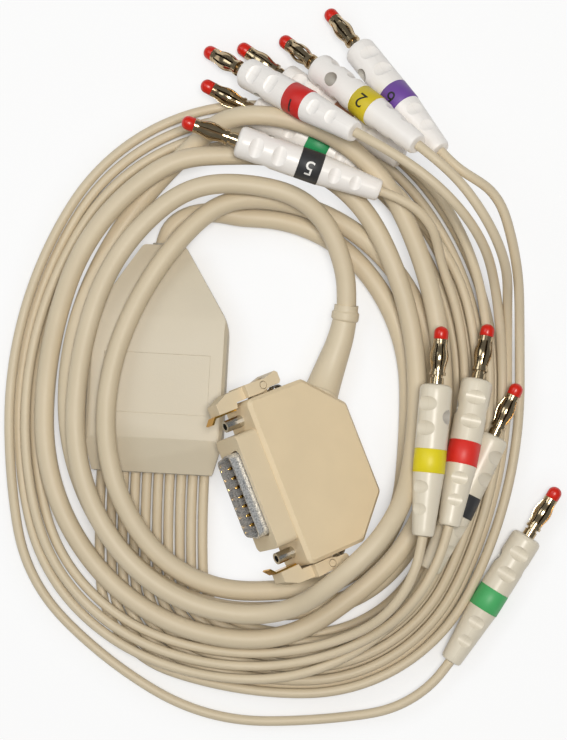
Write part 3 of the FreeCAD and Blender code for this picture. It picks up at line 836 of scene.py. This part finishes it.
@dataclass
class Route:
    """A smooth run of arcs through stops of x, y, z, heading and sometimes pitch."""

    stops: list[Stop]
    spacing: float = 0.005

    def slopes(self) -> list[float]:
        """Rise per run at each stop, level where the route turns from up to down.

        Returns:
            The slopes.
        """
        rises = []
        for here, there in zip(self.stops, self.stops[1:]):
            run = math.hypot(there[0] - here[0], there[1] - here[1])
            rises.append((there[2] - here[2]) / run)
        middle = []
        for before, after in zip(rises, rises[1:]):
            middle.append(2 * before * after / (before + after) if before * after > 0 else 0.0)
        return [0.0, *middle, 0.0]

    def frames(self) -> list[tuple[Vector, Vector]]:
        """Where the route passes each stop, and which way.

        Returns:
            Points and tangents of the stops.
        """
        found = []
        for stop, slope in zip(self.stops, self.slopes()):
            pitch = stop[4] if len(stop) > 4 else math.degrees(math.atan(slope))
            found.append((Vector(stop[:3]), direction(stop[3], pitch)))
        return found

    def arc(self, start: Vector, corner: Vector, end: Vector) -> list[Vector]:
        """Points of an arc whose end tangents meet at a corner.

        Args:
            start: First point.
            corner: Where the end tangents meet.
            end: Last point, which isn't listed.

        Returns:
            Points from the start up to, but not including, the end.
        """
        count = max(2, round((end - start).length / self.spacing))
        weight = (end - start).length / max((corner - start).length + (end - corner).length, TINY)
        points = []
        for number in range(count):
            share = number / count
            parts = ((1 - share) ** 2, 2 * share * (1 - share) * weight, share ** 2)
            points.append((start * parts[0] + corner * parts[1] + end * parts[2]) / sum(parts))
        return points

    def points(self) -> list[Vector]:
        """Points along the whole route: two arcs between each stop and the next.

        Returns:
            The points, in the shared frame.
        """
        frames = self.frames()
        found: list[Vector] = []
        for (start, leave), (end, arrive) in zip(frames, frames[1:]):
            span, both = end - start, leave + arrive
            along, turn = span.dot(both), 2 * (1 - leave.dot(arrive))
            if turn < TINY:
                arm = span.length / 4
            else:
                arm = (math.sqrt(along * along + turn * span.dot(span)) - along) / turn
            first, second = start + leave * arm, end - arrive * arm
            meet = (first + second) / 2
            found += self.arc(start, first, meet) + self.arc(meet, second, end)
        found.append(frames[-1][0])
        return [point - ORIGIN for point in found]


@dataclass
class Cord:
    """One round cord along a route."""

    name: str
    route: Route
    diameter: float
    steps: int

    def build(self) -> None:
        points = self.route.points()
        cord = tube(self.name + "_round", points, [1.0] * len(points), self.diameter / 2, self.steps, "NURBS")
        declare(cord, ROOT_BODY, Finish.CORD_JACKET, self.name)
        length = sum((b - a).length for a, b in zip(points, points[1:]))
        LOG.info("%s %.3f m", self.name, length)


@dataclass
class Yoke:
    """The flat housing where the trunk splits into the leads."""

    corner: Vector = field(default_factory=lambda: Vector((-0.0376, -0.0292, 0.0)))
    turn: float = -3.2
    length: float = 0.065
    edge: float = 0.0004
    bushing_out: float = 0.0006
    gland_out: float = 0.0004
    exit_pitch: float = 0.0033
    exit_middle: float = 4.5
    exit_height: float = 0.003
    seam: float = 0.004

    def point(self, along: float, across: float, height: float) -> Vector:
        """A point in the yoke's own frame, placed as it lies.

        Args:
            along: Distance from the wide end.
            across: Distance to the right of the middle.
            height: Height above the surface.

        Returns:
            The point in the photograph's layout.
        """
        angle = math.radians(self.turn)
        x = across * math.cos(angle) - along * math.sin(angle)
        y = across * math.sin(angle) + along * math.cos(angle)
        return self.corner + Vector((x, y, height))

    def exit(self, index: int) -> Vector:
        """Where a lead leaves the yoke, counted from the right."""
        return self.point(-self.gland_out, self.exit_pitch * (self.exit_middle - index), self.exit_height)

    def dress(self) -> None:
        """Round the shells' edges and dress the rubber pieces."""
        for node in ("yoke_upper_shell", "yoke_lower_shell"):
            Softened(node, ROOT_BODY, Finish.YOKE_SHELL, self.edge).build()
        dress_nodes({"yoke_bushing": Finish.RUBBER_GREY, "yoke_lead_gland": Finish.RUBBER_GREY})


# Where the boot ends and the trunk begins.
BOOT_END: Stop = (0.0180, 0.0185, 0.0080, 85.0, 6.0)

# Trunk turns: left (x, y, z), bottom (y, z), hood corner (x, y, z), right (x, z), top (y, z).
TURNS: tuple[tuple[Stop, ...], ...] = (
    ((-0.0588, -0.015, 0.0148), (-0.0688, 0.0162), (0.0208, -0.0526, 0.0282),
     (0.0380, 0.0104), (0.0610, 0.0118)),
    ((-0.0686, -0.015, 0.0062), (-0.0767, 0.0102), (0.0265, -0.0585, 0.0111),
     (0.0454, 0.0102), (0.0718, 0.0159)),
    ((-0.0617, -0.009, 0.0082), (-0.0692, 0.0072), (0.0288, -0.0598, 0.0032),
     (0.0439, 0.0029), (0.0489, 0.0088)),
    ((-0.0500, -0.015, 0.0170), (-0.0630, 0.0092), (0.0232, -0.0556, 0.0032),
     (0.0362, 0.0029), (0.0439, 0.0029)),
)

# Stops before each turn, from the boot or from the top of the turn before it.
TURN_STARTS: tuple[tuple[Stop, ...], ...] = (
    ((0.0140, 0.0380, 0.0115, 115.0), (-0.0010, 0.0506, 0.0150, 165.0), (-0.0320, 0.0476, 0.0156, 216.0)),
    ((-0.0354, 0.0566, 0.0130, 212.0),),
    ((-0.0305, 0.0596, 0.0066, 224.0),),
    ((-0.0337, 0.0316, 0.0132, 234.0),),
)


@dataclass
class Trunk:
    """The thick cord from the connector's boot, round its turns, to the yoke."""

    yoke: Yoke
    diameter: float = 0.0056
    steps: int = 6
    centre: tuple[float, float] = (-0.009, -0.006)
    corner_heading: float = 42.0
    to_yoke: Stop = (-0.0210, 0.0454, 0.0032, 178.0)
    into_yoke: float = 0.0024

    def turn(self, sizes: tuple[Stop, ...]) -> list[Stop]:
        """The five stops of one turn.

        Args:
            sizes: Left, bottom, hood corner, right and top of the turn.

        Returns:
            The stops in the order of the cord.
        """
        left, bottom, corner, right, top = sizes
        return [
            (*left, Side.LEFT.value),
            (self.centre[0], *bottom, Side.BOTTOM.value),
            (*corner, self.corner_heading),
            (right[0], self.centre[1], right[1], Side.RIGHT.value),
            (self.centre[0], *top, Side.TOP.value),
        ]

    def stops(self) -> list[Stop]:
        """The trunk's way from the boot into the yoke's nose.

        Returns:
            All its stops.
        """
        found = [BOOT_END]
        for before, sizes in zip(TURN_STARTS, TURNS):
            found += [*before, *self.turn(sizes)]
        found.append(self.to_yoke)
        for past in (self.yoke.bushing_out, -self.into_yoke):
            nose = self.yoke.point(self.yoke.length + past, 0.0, self.yoke.seam)
            found.append((*nose, self.yoke.turn + Side.LEFT.value, 0.0))
        return found

    def build(self) -> None:
        """Lay the trunk."""
        Cord("trunk_cable", Route(self.stops()), self.diameter, self.steps).build()


# Plug: tip, rear end and turn of its cross hole, in the order of the yoke's exits from right to left.
PLUGS: dict[str, tuple[Stop, Stop, float]] = {
    "limb_yellow": ((0.0442, 0.0124, 0.0208), (0.0385, -0.0460, 0.0253), 55.0),
    "chest_black": ((-0.0278, 0.0692, 0.0218), (0.0270, 0.0502, 0.0186), 80.0),
    "limb_red": ((0.0582, 0.0130, 0.0120), (0.0460, -0.0436, 0.0214), 90.0),
    "chest_green": ((-0.0229, 0.0816, 0.0080), (0.0284, 0.0546, 0.0076), 90.0),
    "limb_black": ((0.0668, -0.0042, 0.0102), (0.0414, -0.0567, 0.0128), -45.0),
    "chest_brown": ((-0.0127, 0.0934, 0.0022), (0.0334, 0.0596, 0.0134), 100.0),
    "limb_green": ((0.0789, -0.0338, 0.0048), (0.0479, -0.0836, 0.0048), 90.0),
    "chest_red": ((-0.0220, 0.0920, 0.0026), (0.0196, 0.0649, 0.0326), 90.0),
    "chest_yellow": ((-0.0006, 0.0955, 0.0030), (0.0366, 0.0614, 0.0329), -15.0),
    "chest_violet": ((0.0128, 0.1035, 0.0026), (0.0432, 0.0603, 0.0277), -70.0),
}

# Last bends of the chest leads before their plugs.
CHEST_BENDS: dict[str, tuple[Stop, ...]] = {
    "chest_black": ((0.0465, 0.0260, 0.0086, 112.0), (0.0380, 0.0446, 0.0174, 142.0)),
    "chest_green": ((0.0415, 0.0400, 0.0056, 132.0),),
    "chest_brown": ((0.0470, 0.0450, 0.0120, 122.0),),
    "chest_red": ((0.0365, 0.0545, 0.0340, 144.0),),
    "chest_yellow": ((0.0505, 0.0485, 0.0320, 128.0),),
    "chest_violet": ((0.0616, 0.0430, 0.0230, 109.0),),
}

# Last bends of the outermost limb lead, round the whole coil.
OUTER_BENDS: tuple[Stop, ...] = ((-0.0636, -0.0716, 0.0024, -46.0), (-0.0050, -0.1015, 0.0016, 0.0))


def plug_axis(name: str) -> tuple[Vector, Vector]:
    """A plug's rear end and the way that it points."""
    tip, rear = Vector(PLUGS[name][0]), Vector(PLUGS[name][1])
    return rear, (tip - rear).normalized()


@dataclass
class LeadSet:
    """The thin leads, in two layers, from the yoke to the plugs.

    A pitch is the distance between one lead and the next.
    """

    yoke: Yoke
    diameter: float = 0.0028
    steps: int = 3
    layer: float = 0.0016
    layer_step: float = 0.0032
    drop_aside: float = 0.0004
    drop_y: float = -0.060
    drop_step: float = 0.001
    drop_heading: float = -88.0
    bottom_x: float = 0.006
    bottom_y: float = -0.0763
    bottom_pitch: float = 0.00185
    right_x: float = 0.0503
    right_y: float = -0.004
    right_pitch: float = 0.0018
    violet_aside: float = 0.0014
    return_x: float = -0.009
    return_pitch: float = 0.0037
    return_top_y: float = 0.0655
    return_left_x: float = -0.0720
    return_left_y: float = -0.015
    return_left_pitch: float = 0.0023
    return_left_step: float = 0.0028
    return_bottom_y: float = -0.0809
    return_bottom_z: float = 0.0084
    corner_share: float = 0.735
    corner_z: float = 0.0066
    corner_step: float = 0.0013
    corner_heading: float = -45.0
    outer_rank: int = 3

    def limb_return(self, rank: int) -> list[Stop]:
        """A limb lead's second way round the coil.

        Args:
            rank: Place of the lead among the limb leads, from the inside.

        Returns:
            Its stops over the top, down the left and along the bottom.
        """
        raised = rank % 2
        left_x = self.return_left_x - self.return_left_pitch * rank
        left_y = self.return_left_y
        bottom_y = self.return_bottom_y - self.return_pitch * rank
        found: list[Stop] = [
            (self.return_x, self.return_top_y + self.return_pitch * rank, self.layer, Side.TOP.value),
            (left_x, left_y, self.layer + self.return_left_step * raised, Side.LEFT.value),
        ]
        if rank == self.outer_rank:
            return found + [*OUTER_BENDS]
        corner_x = self.return_x + (left_x - self.return_x) * self.corner_share
        corner_y = left_y + (bottom_y - left_y) * self.corner_share
        corner_z = self.corner_z + self.corner_step * raised
        return found + [
            (corner_x, corner_y, corner_z, self.corner_heading),
            (self.return_x, bottom_y, self.return_bottom_z, Side.BOTTOM.value),
        ]

    def stops(self, name: str, index: int) -> list[Stop]:
        """Stops of one lead.

        Args:
            name: The lead's plug.
            index: Its place at the yoke.

        Returns:
            The stops from the yoke to the plug.
        """
        raised = index % 2
        height = self.layer + self.layer_step * raised
        leave = self.yoke.exit(index)
        aside = self.violet_aside if name == "chest_violet" else 0.0
        found: list[Stop] = [
            (*leave, self.yoke.turn + Side.LEFT.value, 0.0),
            (leave.x - self.drop_aside, self.drop_y, self.layer + self.drop_step * raised, self.drop_heading),
            (self.bottom_x, self.bottom_y - self.bottom_pitch * index, height, Side.BOTTOM.value),
            (self.right_x + self.right_pitch * index + aside, self.right_y, height, Side.RIGHT.value),
        ]
        if name.startswith("limb"):
            found += self.limb_return(index // 2)
        found += CHEST_BENDS.get(name, ())
        rear, axis = plug_axis(name)
        heading, pitch = math.degrees(math.atan2(axis.y, axis.x)), math.degrees(math.asin(axis.z))
        return found + [(*rear, heading, pitch)]

    def build(self) -> None:
        """Lay all the leads."""
        for index, name in enumerate(PLUGS):
            Cord(name + "_lead", Route(self.stops(name, index)), self.diameter, self.steps).build()


# Plain numeral of a chest band, and how far round from the top it stands, in degrees.
NUMERALS: dict[str, tuple[str, float]] = {
    "chest_red": ("1", -38.0), "chest_yellow": ("2", -6.0), "chest_green": ("3", 130.0),
    "chest_brown": ("4", 130.0), "chest_black": ("5", -12.0), "chest_violet": ("6", -30.0),
}


@dataclass
class PlugSet:
    """The colour-banded plugs: grip, band, pin, barrel spring and tip, all turned about Z.

    A round lists how far each of its rings lies from the end and within the radius. A scoop has a
    height and a depth.
    """

    length: float = 0.0423
    radius: float = 0.0045
    rear_radius: float = 0.0031
    rear_round: tuple[Ring, ...] = ((0.0, 0.0008), (0.0002, 0.0003), (0.0008, 0.0))
    front_round: tuple[Ring, ...] = (
        (0.0015, 0.0), (0.0009, 0.00015), (0.0004, 0.0005), (0.0001, 0.0011), (0.0, 0.0016))
    grip_sides: int = 64
    grip_reach: float = 0.0011
    edge: float = 0.0001
    band_from: float = 0.0176
    band_to: float = 0.0242
    band_depth: float = 0.0007
    band_proud: float = 0.00002
    band_edge: float = 0.00012
    band_sides: int = 48
    hole_back: float = 0.0090
    hole_radius: float = 0.0020
    hole_length: float = 0.012
    scoop_radius: float = 0.0026
    scoop_length: float = 0.016
    scoops: tuple[Ring, ...] = ((0.0366, 0.0010), (0.0298, 0.0010), (0.0134, 0.0008), (0.0072, 0.0007))
    shank_radius: float = 0.0019
    shank_in: float = 0.0060
    socket_past: float = 0.001
    neck_length: float = 0.0006
    neck_depth: float = 0.0004
    collar_from: float = 0.0448
    collar_radius: float = 0.00225
    core_radius: float = 0.0012
    spring_from: float = 0.0458
    spring_to: float = 0.0543
    spring_radius: float = 0.0020
    spring_wall: float = 0.00028
    half_swell: tuple[float, ...] = (0.0, 0.0, 0.00006, 0.00024, 0.00044, 0.00056, 0.00060)
    leaves: int = 8
    leaf_sides: int = 6
    slot_sides: int = 2
    end_radius: float = 0.00205
    end_length: float = 0.0007
    tip_radius: float = 0.0020
    dome: float = 0.0018
    dome_steps: int = 8
    dome_turn: float = 80.0
    dome_flat: float = 0.06
    whole: float = 0.0586
    figure_size: float = 0.0060
    figure_steps: int = 4
    figure_slices: int = 7
    slice_width: float = 0.0003
    print_depth: float = 0.00005

    def lie(self, name: str) -> Matrix:
        """Where a plug lies: its Z along the pin, its Y along the cross hole.

        Args:
            name: The plug.

        Returns:
            The plug's place and turn in the shared frame.
        """
        rear, axis = plug_axis(name)
        roll = math.radians(PLUGS[name][2])
        side = UP.cross(axis).normalized()
        over = axis.cross(side)
        scoop = side * math.cos(roll) + over * math.sin(roll)
        hole = over * math.cos(roll) - side * math.sin(roll)
        turned = Matrix((scoop, hole, axis)).transposed().to_4x4()
        return Matrix.Translation(rear - ORIGIN) @ turned

    def grip(self) -> bpy.types.Object:
        """Tapered grip with its band's seat, finger scoops, pin socket and cross hole.

        Returns:
            The grip.
        """
        front, wide, edge = self.length, self.radius, self.edge
        seat = wide - self.band_depth
        rings = [(along, self.rear_radius - within) for along, within in self.rear_round]
        rings += [
            (self.band_from - edge, wide - edge), (self.band_from, wide - 2 * edge), (self.band_from, seat),
            (self.band_to, seat), (self.band_to, wide - edge), (self.band_to + edge, wide),
        ]
        rings += [(front - back, wide - within) for back, within in self.front_round]
        made = Turning("grip_form", rings, self.grip_sides, reach=self.grip_reach).build()
        bore = [(front - self.shank_in, self.shank_radius), (front + self.socket_past, self.shank_radius)]
        cut(made, Turning("socket_form", bore).build())
        cut(made, bar(self.hole_radius, self.hole_length, UP * (front - self.hole_back)))
        for height, depth in self.scoops:
            share = min(1.0, height / self.band_from)
            skin = self.rear_radius + (wide - self.rear_radius) * share
            for way in (1, -1):
                place = Vector((way * (skin + self.scoop_radius - depth), 0.0, height))
                cut(made, bar(self.scoop_radius, self.scoop_length, place))
        mark_places(made)
        smooth(made, angle=24.0)
        modify(made, "WEIGHTED_NORMAL", keep_sharp=True)
        return made

    def band(self) -> bpy.types.Object:
        """Colour band seated in the grip, its edges slightly rounded.

        Returns:
            The band.
        """
        low, high, edge = self.band_from, self.band_to, self.band_edge
        inner, outer = self.radius - self.band_depth, self.radius + self.band_proud
        rings = [
            (low, inner), (low, outer - edge), (low + edge, outer), (high - edge, outer),
            (high, outer - edge), (high, inner), (low, inner),
        ]
        made = Turning("band_form", rings, self.band_sides, closed_ends=False).build()
        smooth(made, angle=50.0)
        return made

    def pin(self) -> bpy.types.Object:
        """Metal pin: shank, grooved neck, collar, core of the spring and end collar.

        Returns:
            The pin.
        """
        shank, edge, end = self.shank_radius, self.edge, self.end_radius
        collar, low, high = self.collar_from, self.spring_from, self.spring_to
        neck, last = collar - self.neck_length, high + self.end_length
        rings = [
            (self.length - self.shank_in, shank), (neck - edge, shank),
            (neck, shank - self.neck_depth), (collar, shank - self.neck_depth),
            (collar + edge, self.collar_radius), (low - edge, self.collar_radius), (low, self.spring_radius),
            (low, self.core_radius), (high, self.core_radius),
            (high, end - edge), (high + edge, end), (last - edge, end), (last, end - edge),
        ]
        made = Turning("pin_form", rings).build()
        mark_places(made)
        smooth(made, angle=35.0)
        return made

    def spring(self) -> bpy.types.Object:
        """Barrel of bowed leaves between two bands.

        Returns:
            The barrel spring.
        """
        low, high = self.spring_from, self.spring_to
        swell = self.half_swell + self.half_swell[-2::-1]
        step = (high - low) / (len(swell) - 1)
        rings = [(low + step * number, self.spring_radius + rise) for number, rise in enumerate(swell)]
        sides = self.leaves * self.leaf_sides
        made = Turning("spring_form", rings, sides, closed_ends=False).build()
        with editing(made):
            bpy.ops.mesh.select_all(action="DESELECT")
        for face in made.data.polygons:
            turn = math.degrees(math.atan2(face.center.y, face.center.x)) % 360.0
            slot = int(turn // (360.0 / sides)) % self.leaf_sides < self.slot_sides
            face.select = slot and low + step < face.center.z < high - step
        with editing(made, whole=False):
            bpy.ops.mesh.select_mode(type="FACE")
            bpy.ops.mesh.delete(type="FACE")
            bpy.ops.mesh.select_mode(type="VERT")
        modify(made, "SOLIDIFY", thickness=self.spring_wall, offset=-1.0)
        mark_places(made)
        smooth(made, angle=40.0)
        return made

    def tip(self) -> bpy.types.Object:
        """Domed insulating tip.

        Returns:
            The tip.
        """
        start, end, wide = self.spring_to + self.end_length, self.whole, self.tip_radius
        rings = [(start, wide - self.edge), (start + self.edge, wide)]
        for step in range(self.dome_steps + 1):
            turn = math.radians(step * self.dome_turn / self.dome_steps)
            rings.append((end - self.dome + self.dome * math.sin(turn), wide * math.cos(turn)))
        rings.append((end, wide * self.dome_flat))
        made = Turning("tip_form", rings).build()
        smooth(made, angle=50.0)
        return made

    def numeral(self, name: str, lie: Matrix) -> bpy.types.Object:
        """Printed numeral laid round a chest band.

        Args:
            name: The plug.
            lie: Where the plug lies.

        Returns:
            The numeral as a thin raised print.
        """
        figure, round_by = NUMERALS[name]
        deselect()
        bpy.ops.object.text_add(location=(0.0, 0.0, 0.0))
        words = bpy.context.object.data
        words.body = figure
        words.size = self.figure_size
        words.align_x = "CENTER"
        words.align_y = "CENTER"
        words.resolution_u = self.figure_steps
        bpy.ops.object.convert(target="MESH")
        made = bpy.context.object
        made.name = name + "_numeral"
        with editing(made):
            for number in range(-self.figure_slices, self.figure_slices + 1):
                bpy.ops.mesh.select_all(action="SELECT")
                height = number * self.slice_width
                bpy.ops.mesh.bisect(plane_co=(0.0, height, 0.0), plane_no=(0.0, 1.0, 0.0))
            bpy.ops.mesh.select_all(action="SELECT")
            bpy.ops.mesh.remove_doubles(threshold=MERGE)
        top = lie.to_3x3().inverted() @ UP
        start = math.atan2(top.y, top.x) + math.radians(round_by)
        skin = self.radius + self.print_depth
        middle = (self.band_from + self.band_to) / 2
        for corner in made.data.vertices:
            turn = start - corner.co.y / skin
            corner.co = (skin * math.cos(turn), skin * math.sin(turn), middle + corner.co.x)
        modify(made, "SOLIDIFY", thickness=self.print_depth, offset=-1.0)
        made.data.transform(lie)
        return made

    def build(self) -> None:
        """Model each form once, lay ten copies of it and dress them."""
        grip_form, band_form = self.grip(), self.band()
        forms = {"plug_pins": self.pin(), "lantern_springs": self.spring(), "plug_tips": self.tip()}
        ends: dict[str, list[bpy.types.Object]] = {node: [] for node in forms}
        for name in PLUGS:
            lie = self.lie(name)
            grip_finish = Finish.LIMB_GRIP if name.startswith("limb") else Finish.CHEST_GRIP
            grip = placed_copy(grip_form, name + "_grip_round", lie)
            declare(grip, ROOT_BODY, grip_finish, name + "_grip")
            band = placed_copy(band_form, name + "_band_round", lie)
            declare(band, ROOT_BODY, Finish[name.upper() + "_BAND"], name + "_ring")
            for node, copies in ends.items():
                copies.append(placed_copy(forms[node], name + "_" + node, lie))
            if name == "chest_black":
                declare(self.numeral(name, lie), ROOT_BODY, Finish.PALE_INK)
            elif name in NUMERALS:
                declare(self.numeral(name, lie), ROOT_BODY, Finish.INK)
        for node, copies in ends.items():
            finish = Finish.RED_TIP if node == "plug_tips" else Finish.NICKEL
            declare(joined(copies, node + "_round"), ROOT_BODY, finish, node)
        for form in (grip_form, band_form, *forms.values()):
            bpy.data.objects.remove(form)


@dataclass
class Connector:
    """The D connector with its hood, latches and boot.

    The boot's form gives its radius at shares of its length.
    """

    boot_from: Stop = (0.01018, -0.008108, 0.008395, 70.41, -20.70)
    boot_spacing: float = 0.00025
    boot_steps: int = 8
    boot_form: tuple[Ring, ...] = (
        (0.0, 0.0053), (0.05, 0.0053), (0.06, 0.0050), (0.28, 0.0045), (0.55, 0.0039), (0.84, 0.00345),
        (0.85, 0.00385), (0.86, 0.00395), (0.92, 0.00395), (0.93, 0.00385), (0.94, 0.00345), (1.0, 0.00345),
    )

    def boot_radius(self, share: float) -> float:
        """Radius of the boot.

        Args:
            share: How far along the boot, from 0 to 1.

        Returns:
            The radius there.
        """
        for (low, here), (high, there) in zip(self.boot_form, self.boot_form[1:]):
            if share <= high:
                return here + (there - here) * (share - low) / (high - low)
        return self.boot_form[-1][1]

    def boot(self) -> None:
        """Bell-shaped sleeve with a bead, bent towards the trunk."""
        points = Route([self.boot_from, BOOT_END], self.boot_spacing).points()
        gone = [0.0]
        for here, there in zip(points, points[1:]):
            gone.append(gone[-1] + (there - here).length)
        radii = [self.boot_radius(length / gone[-1]) for length in gone]
        pick(tube("cable_boot_round", points, radii, 1.0, self.boot_steps, "POLY"))
        bpy.ops.object.convert(target="MESH")
        sleeve = bpy.context.object
        smooth(sleeve, angle=45.0)
        declare(sleeve, ROOT_BODY, Finish.BOOT, "cable_boot")

    def dress(self) -> None:
        """Round the mouldings' edges and dress the metal pieces."""
        for node in ("hood_upper_shell", "hood_lower_shell"):
            Softened(node, ROOT_BODY, Finish.HOOD_SHELL).build()
        Softened("front_shroud", ROOT_BODY, Finish.SHROUD).build()
        finishes = {
            "hood_screws": Finish.STEEL,
            "dsub_shell": Finish.CHROME,
            "dsub_insulator": Finish.INSULATOR,
            "dsub_contacts": Finish.GOLD,
            "flange_posts": Finish.POST_METAL,
        }
        for end in ("upper", "lower"):
            Softened("latch_lever_" + end, end + "_latch", Finish.LEVER).build()
            finishes["latch_hook_" + end] = Finish.GOLD
            finishes["latch_pin_" + end] = Finish.LEVER
            LatchSpring(end).build()
        dress_nodes(finishes)


@dataclass(frozen=True)
class Lamp:
    """A soft square lamp that points at the cable."""

    name: str
    place: tuple[float, float, float]
    size: float
    energy: float
    tint: Colour

    def build(self) -> None:
        """Hang the lamp."""
        light = bpy.data.lights.new(self.name, "AREA")
        light.energy = self.energy
        light.size = self.size
        light.color = self.tint
        lamp = bpy.data.objects.new(self.name, light)
        lamp.location = self.place
        lamp.rotation_euler = (-Vector(self.place)).to_track_quat("-Z", "Y").to_euler()
        bpy.context.collection.objects.link(lamp)


@dataclass
class Studio:
    """Pale floor, soft light and the camera straight above."""

    floor_size: float = 12.0
    floor_drop: float = 0.0003
    floor_colour: tuple[float, ...] = (0.9, 0.9, 0.9, 1.0)
    glow_colour: tuple[float, ...] = (1.0, 1.0, 1.0, 1.0)
    glow_share: float = 0.8
    shadow_reach: float = 0.008
    shadow_samples: int = 12
    sky_colour: tuple[float, ...] = (0.93, 0.97, 1.0, 1.0)
    sky: float = 0.2
    lamps: tuple[Lamp, ...] = (
        Lamp("key", (0.04, 0.02, 0.85), 0.22, 4.7, (1.0, 0.965, 0.91)),
        Lamp("fill", (-0.5, 0.3, 0.6), 0.4, 1.2, (0.88, 0.95, 1.0)),
    )
    nearest: float = 0.01

    def floor(self) -> None:
        """Lay the floor, which shows white apart from the shadow near the cable."""
        deselect()
        bpy.ops.mesh.primitive_plane_add(size=self.floor_size, location=(0, 0, -self.floor_drop))
        floor = bpy.context.object
        floor.name = "floor"
        deselect()
        made = bpy.data.materials.new("white_floor")
        tree = ShaderTree(made)
        rays = tree.node("ShaderNodeLightPath", {}, {})
        seen = rays.out("Is Camera Ray") + rays.out("Is Glossy Ray") + rays.out("Is Transmission Ray")
        once = tree.node("ShaderNodeMath", {"operation": "MINIMUM"}, {0: seen, 1: 1.0}).out()
        settings, reach = {"samples": self.shadow_samples}, {"Distance": self.shadow_reach}
        clear = tree.node("ShaderNodeAmbientOcclusion", settings, reach).out("AO")
        paper = tree.node("ShaderNodeBsdfDiffuse", {}, {"Color": self.floor_colour}).out()
        glow = tree.node("ShaderNodeEmission", {}, {"Color": self.glow_colour, "Strength": 1.0}).out()
        share = once * clear * self.glow_share
        mixed = tree.node("ShaderNodeMixShader", {}, {0: share, 1: paper, 2: glow})
        tree.node("ShaderNodeOutputMaterial", {}, {"Surface": mixed.out()})
        floor.data.materials.append(made)

    def light(self) -> None:
        """Set the world and the lamps."""
        world = bpy.data.worlds.new("soft_sky")
        bpy.context.scene.world = world
        tree = ShaderTree(world)
        back = tree.node("ShaderNodeBackground", {}, {"Color": self.sky_colour, "Strength": self.sky})
        tree.node("ShaderNodeOutputWorld", {}, {"Surface": back.out()})
        for lamp in self.lamps:
            lamp.build()

    def camera(self) -> None:
        """Set the camera straight above the photograph's middle."""
        view = bpy.data.cameras.new("camera")
        view.sensor_fit = "HORIZONTAL"
        view.sensor_width = SENSOR_WIDTH
        view.lens = SENSOR_WIDTH * CAMERA_HEIGHT / (PHOTO_WIDTH / PIXELS_PER_METRE)
        view.clip_start = self.nearest
        camera = bpy.data.objects.new("camera", view)
        camera.location = UP * CAMERA_HEIGHT - ORIGIN
        bpy.context.collection.objects.link(camera)
        bpy.context.scene.camera = camera

    def build(self) -> None:
        """Set the whole studio."""
        bpy.context.scene.view_settings.view_transform = "Standard"
        self.floor()
        self.light()
        self.camera()


def main() -> None:
    """Build the cable's looks in order."""
    logging.basicConfig(level=logging.INFO, format="%(name)s: %(message)s")
    yoke, connector = Yoke(), Connector()
    yoke.dress()
    connector.dress()
    connector.boot()
    PlugSet().build()
    Trunk(yoke).build()
    LeadSet(yoke).build()
    Studio().build()


if __name__ == "__main__":
    main()
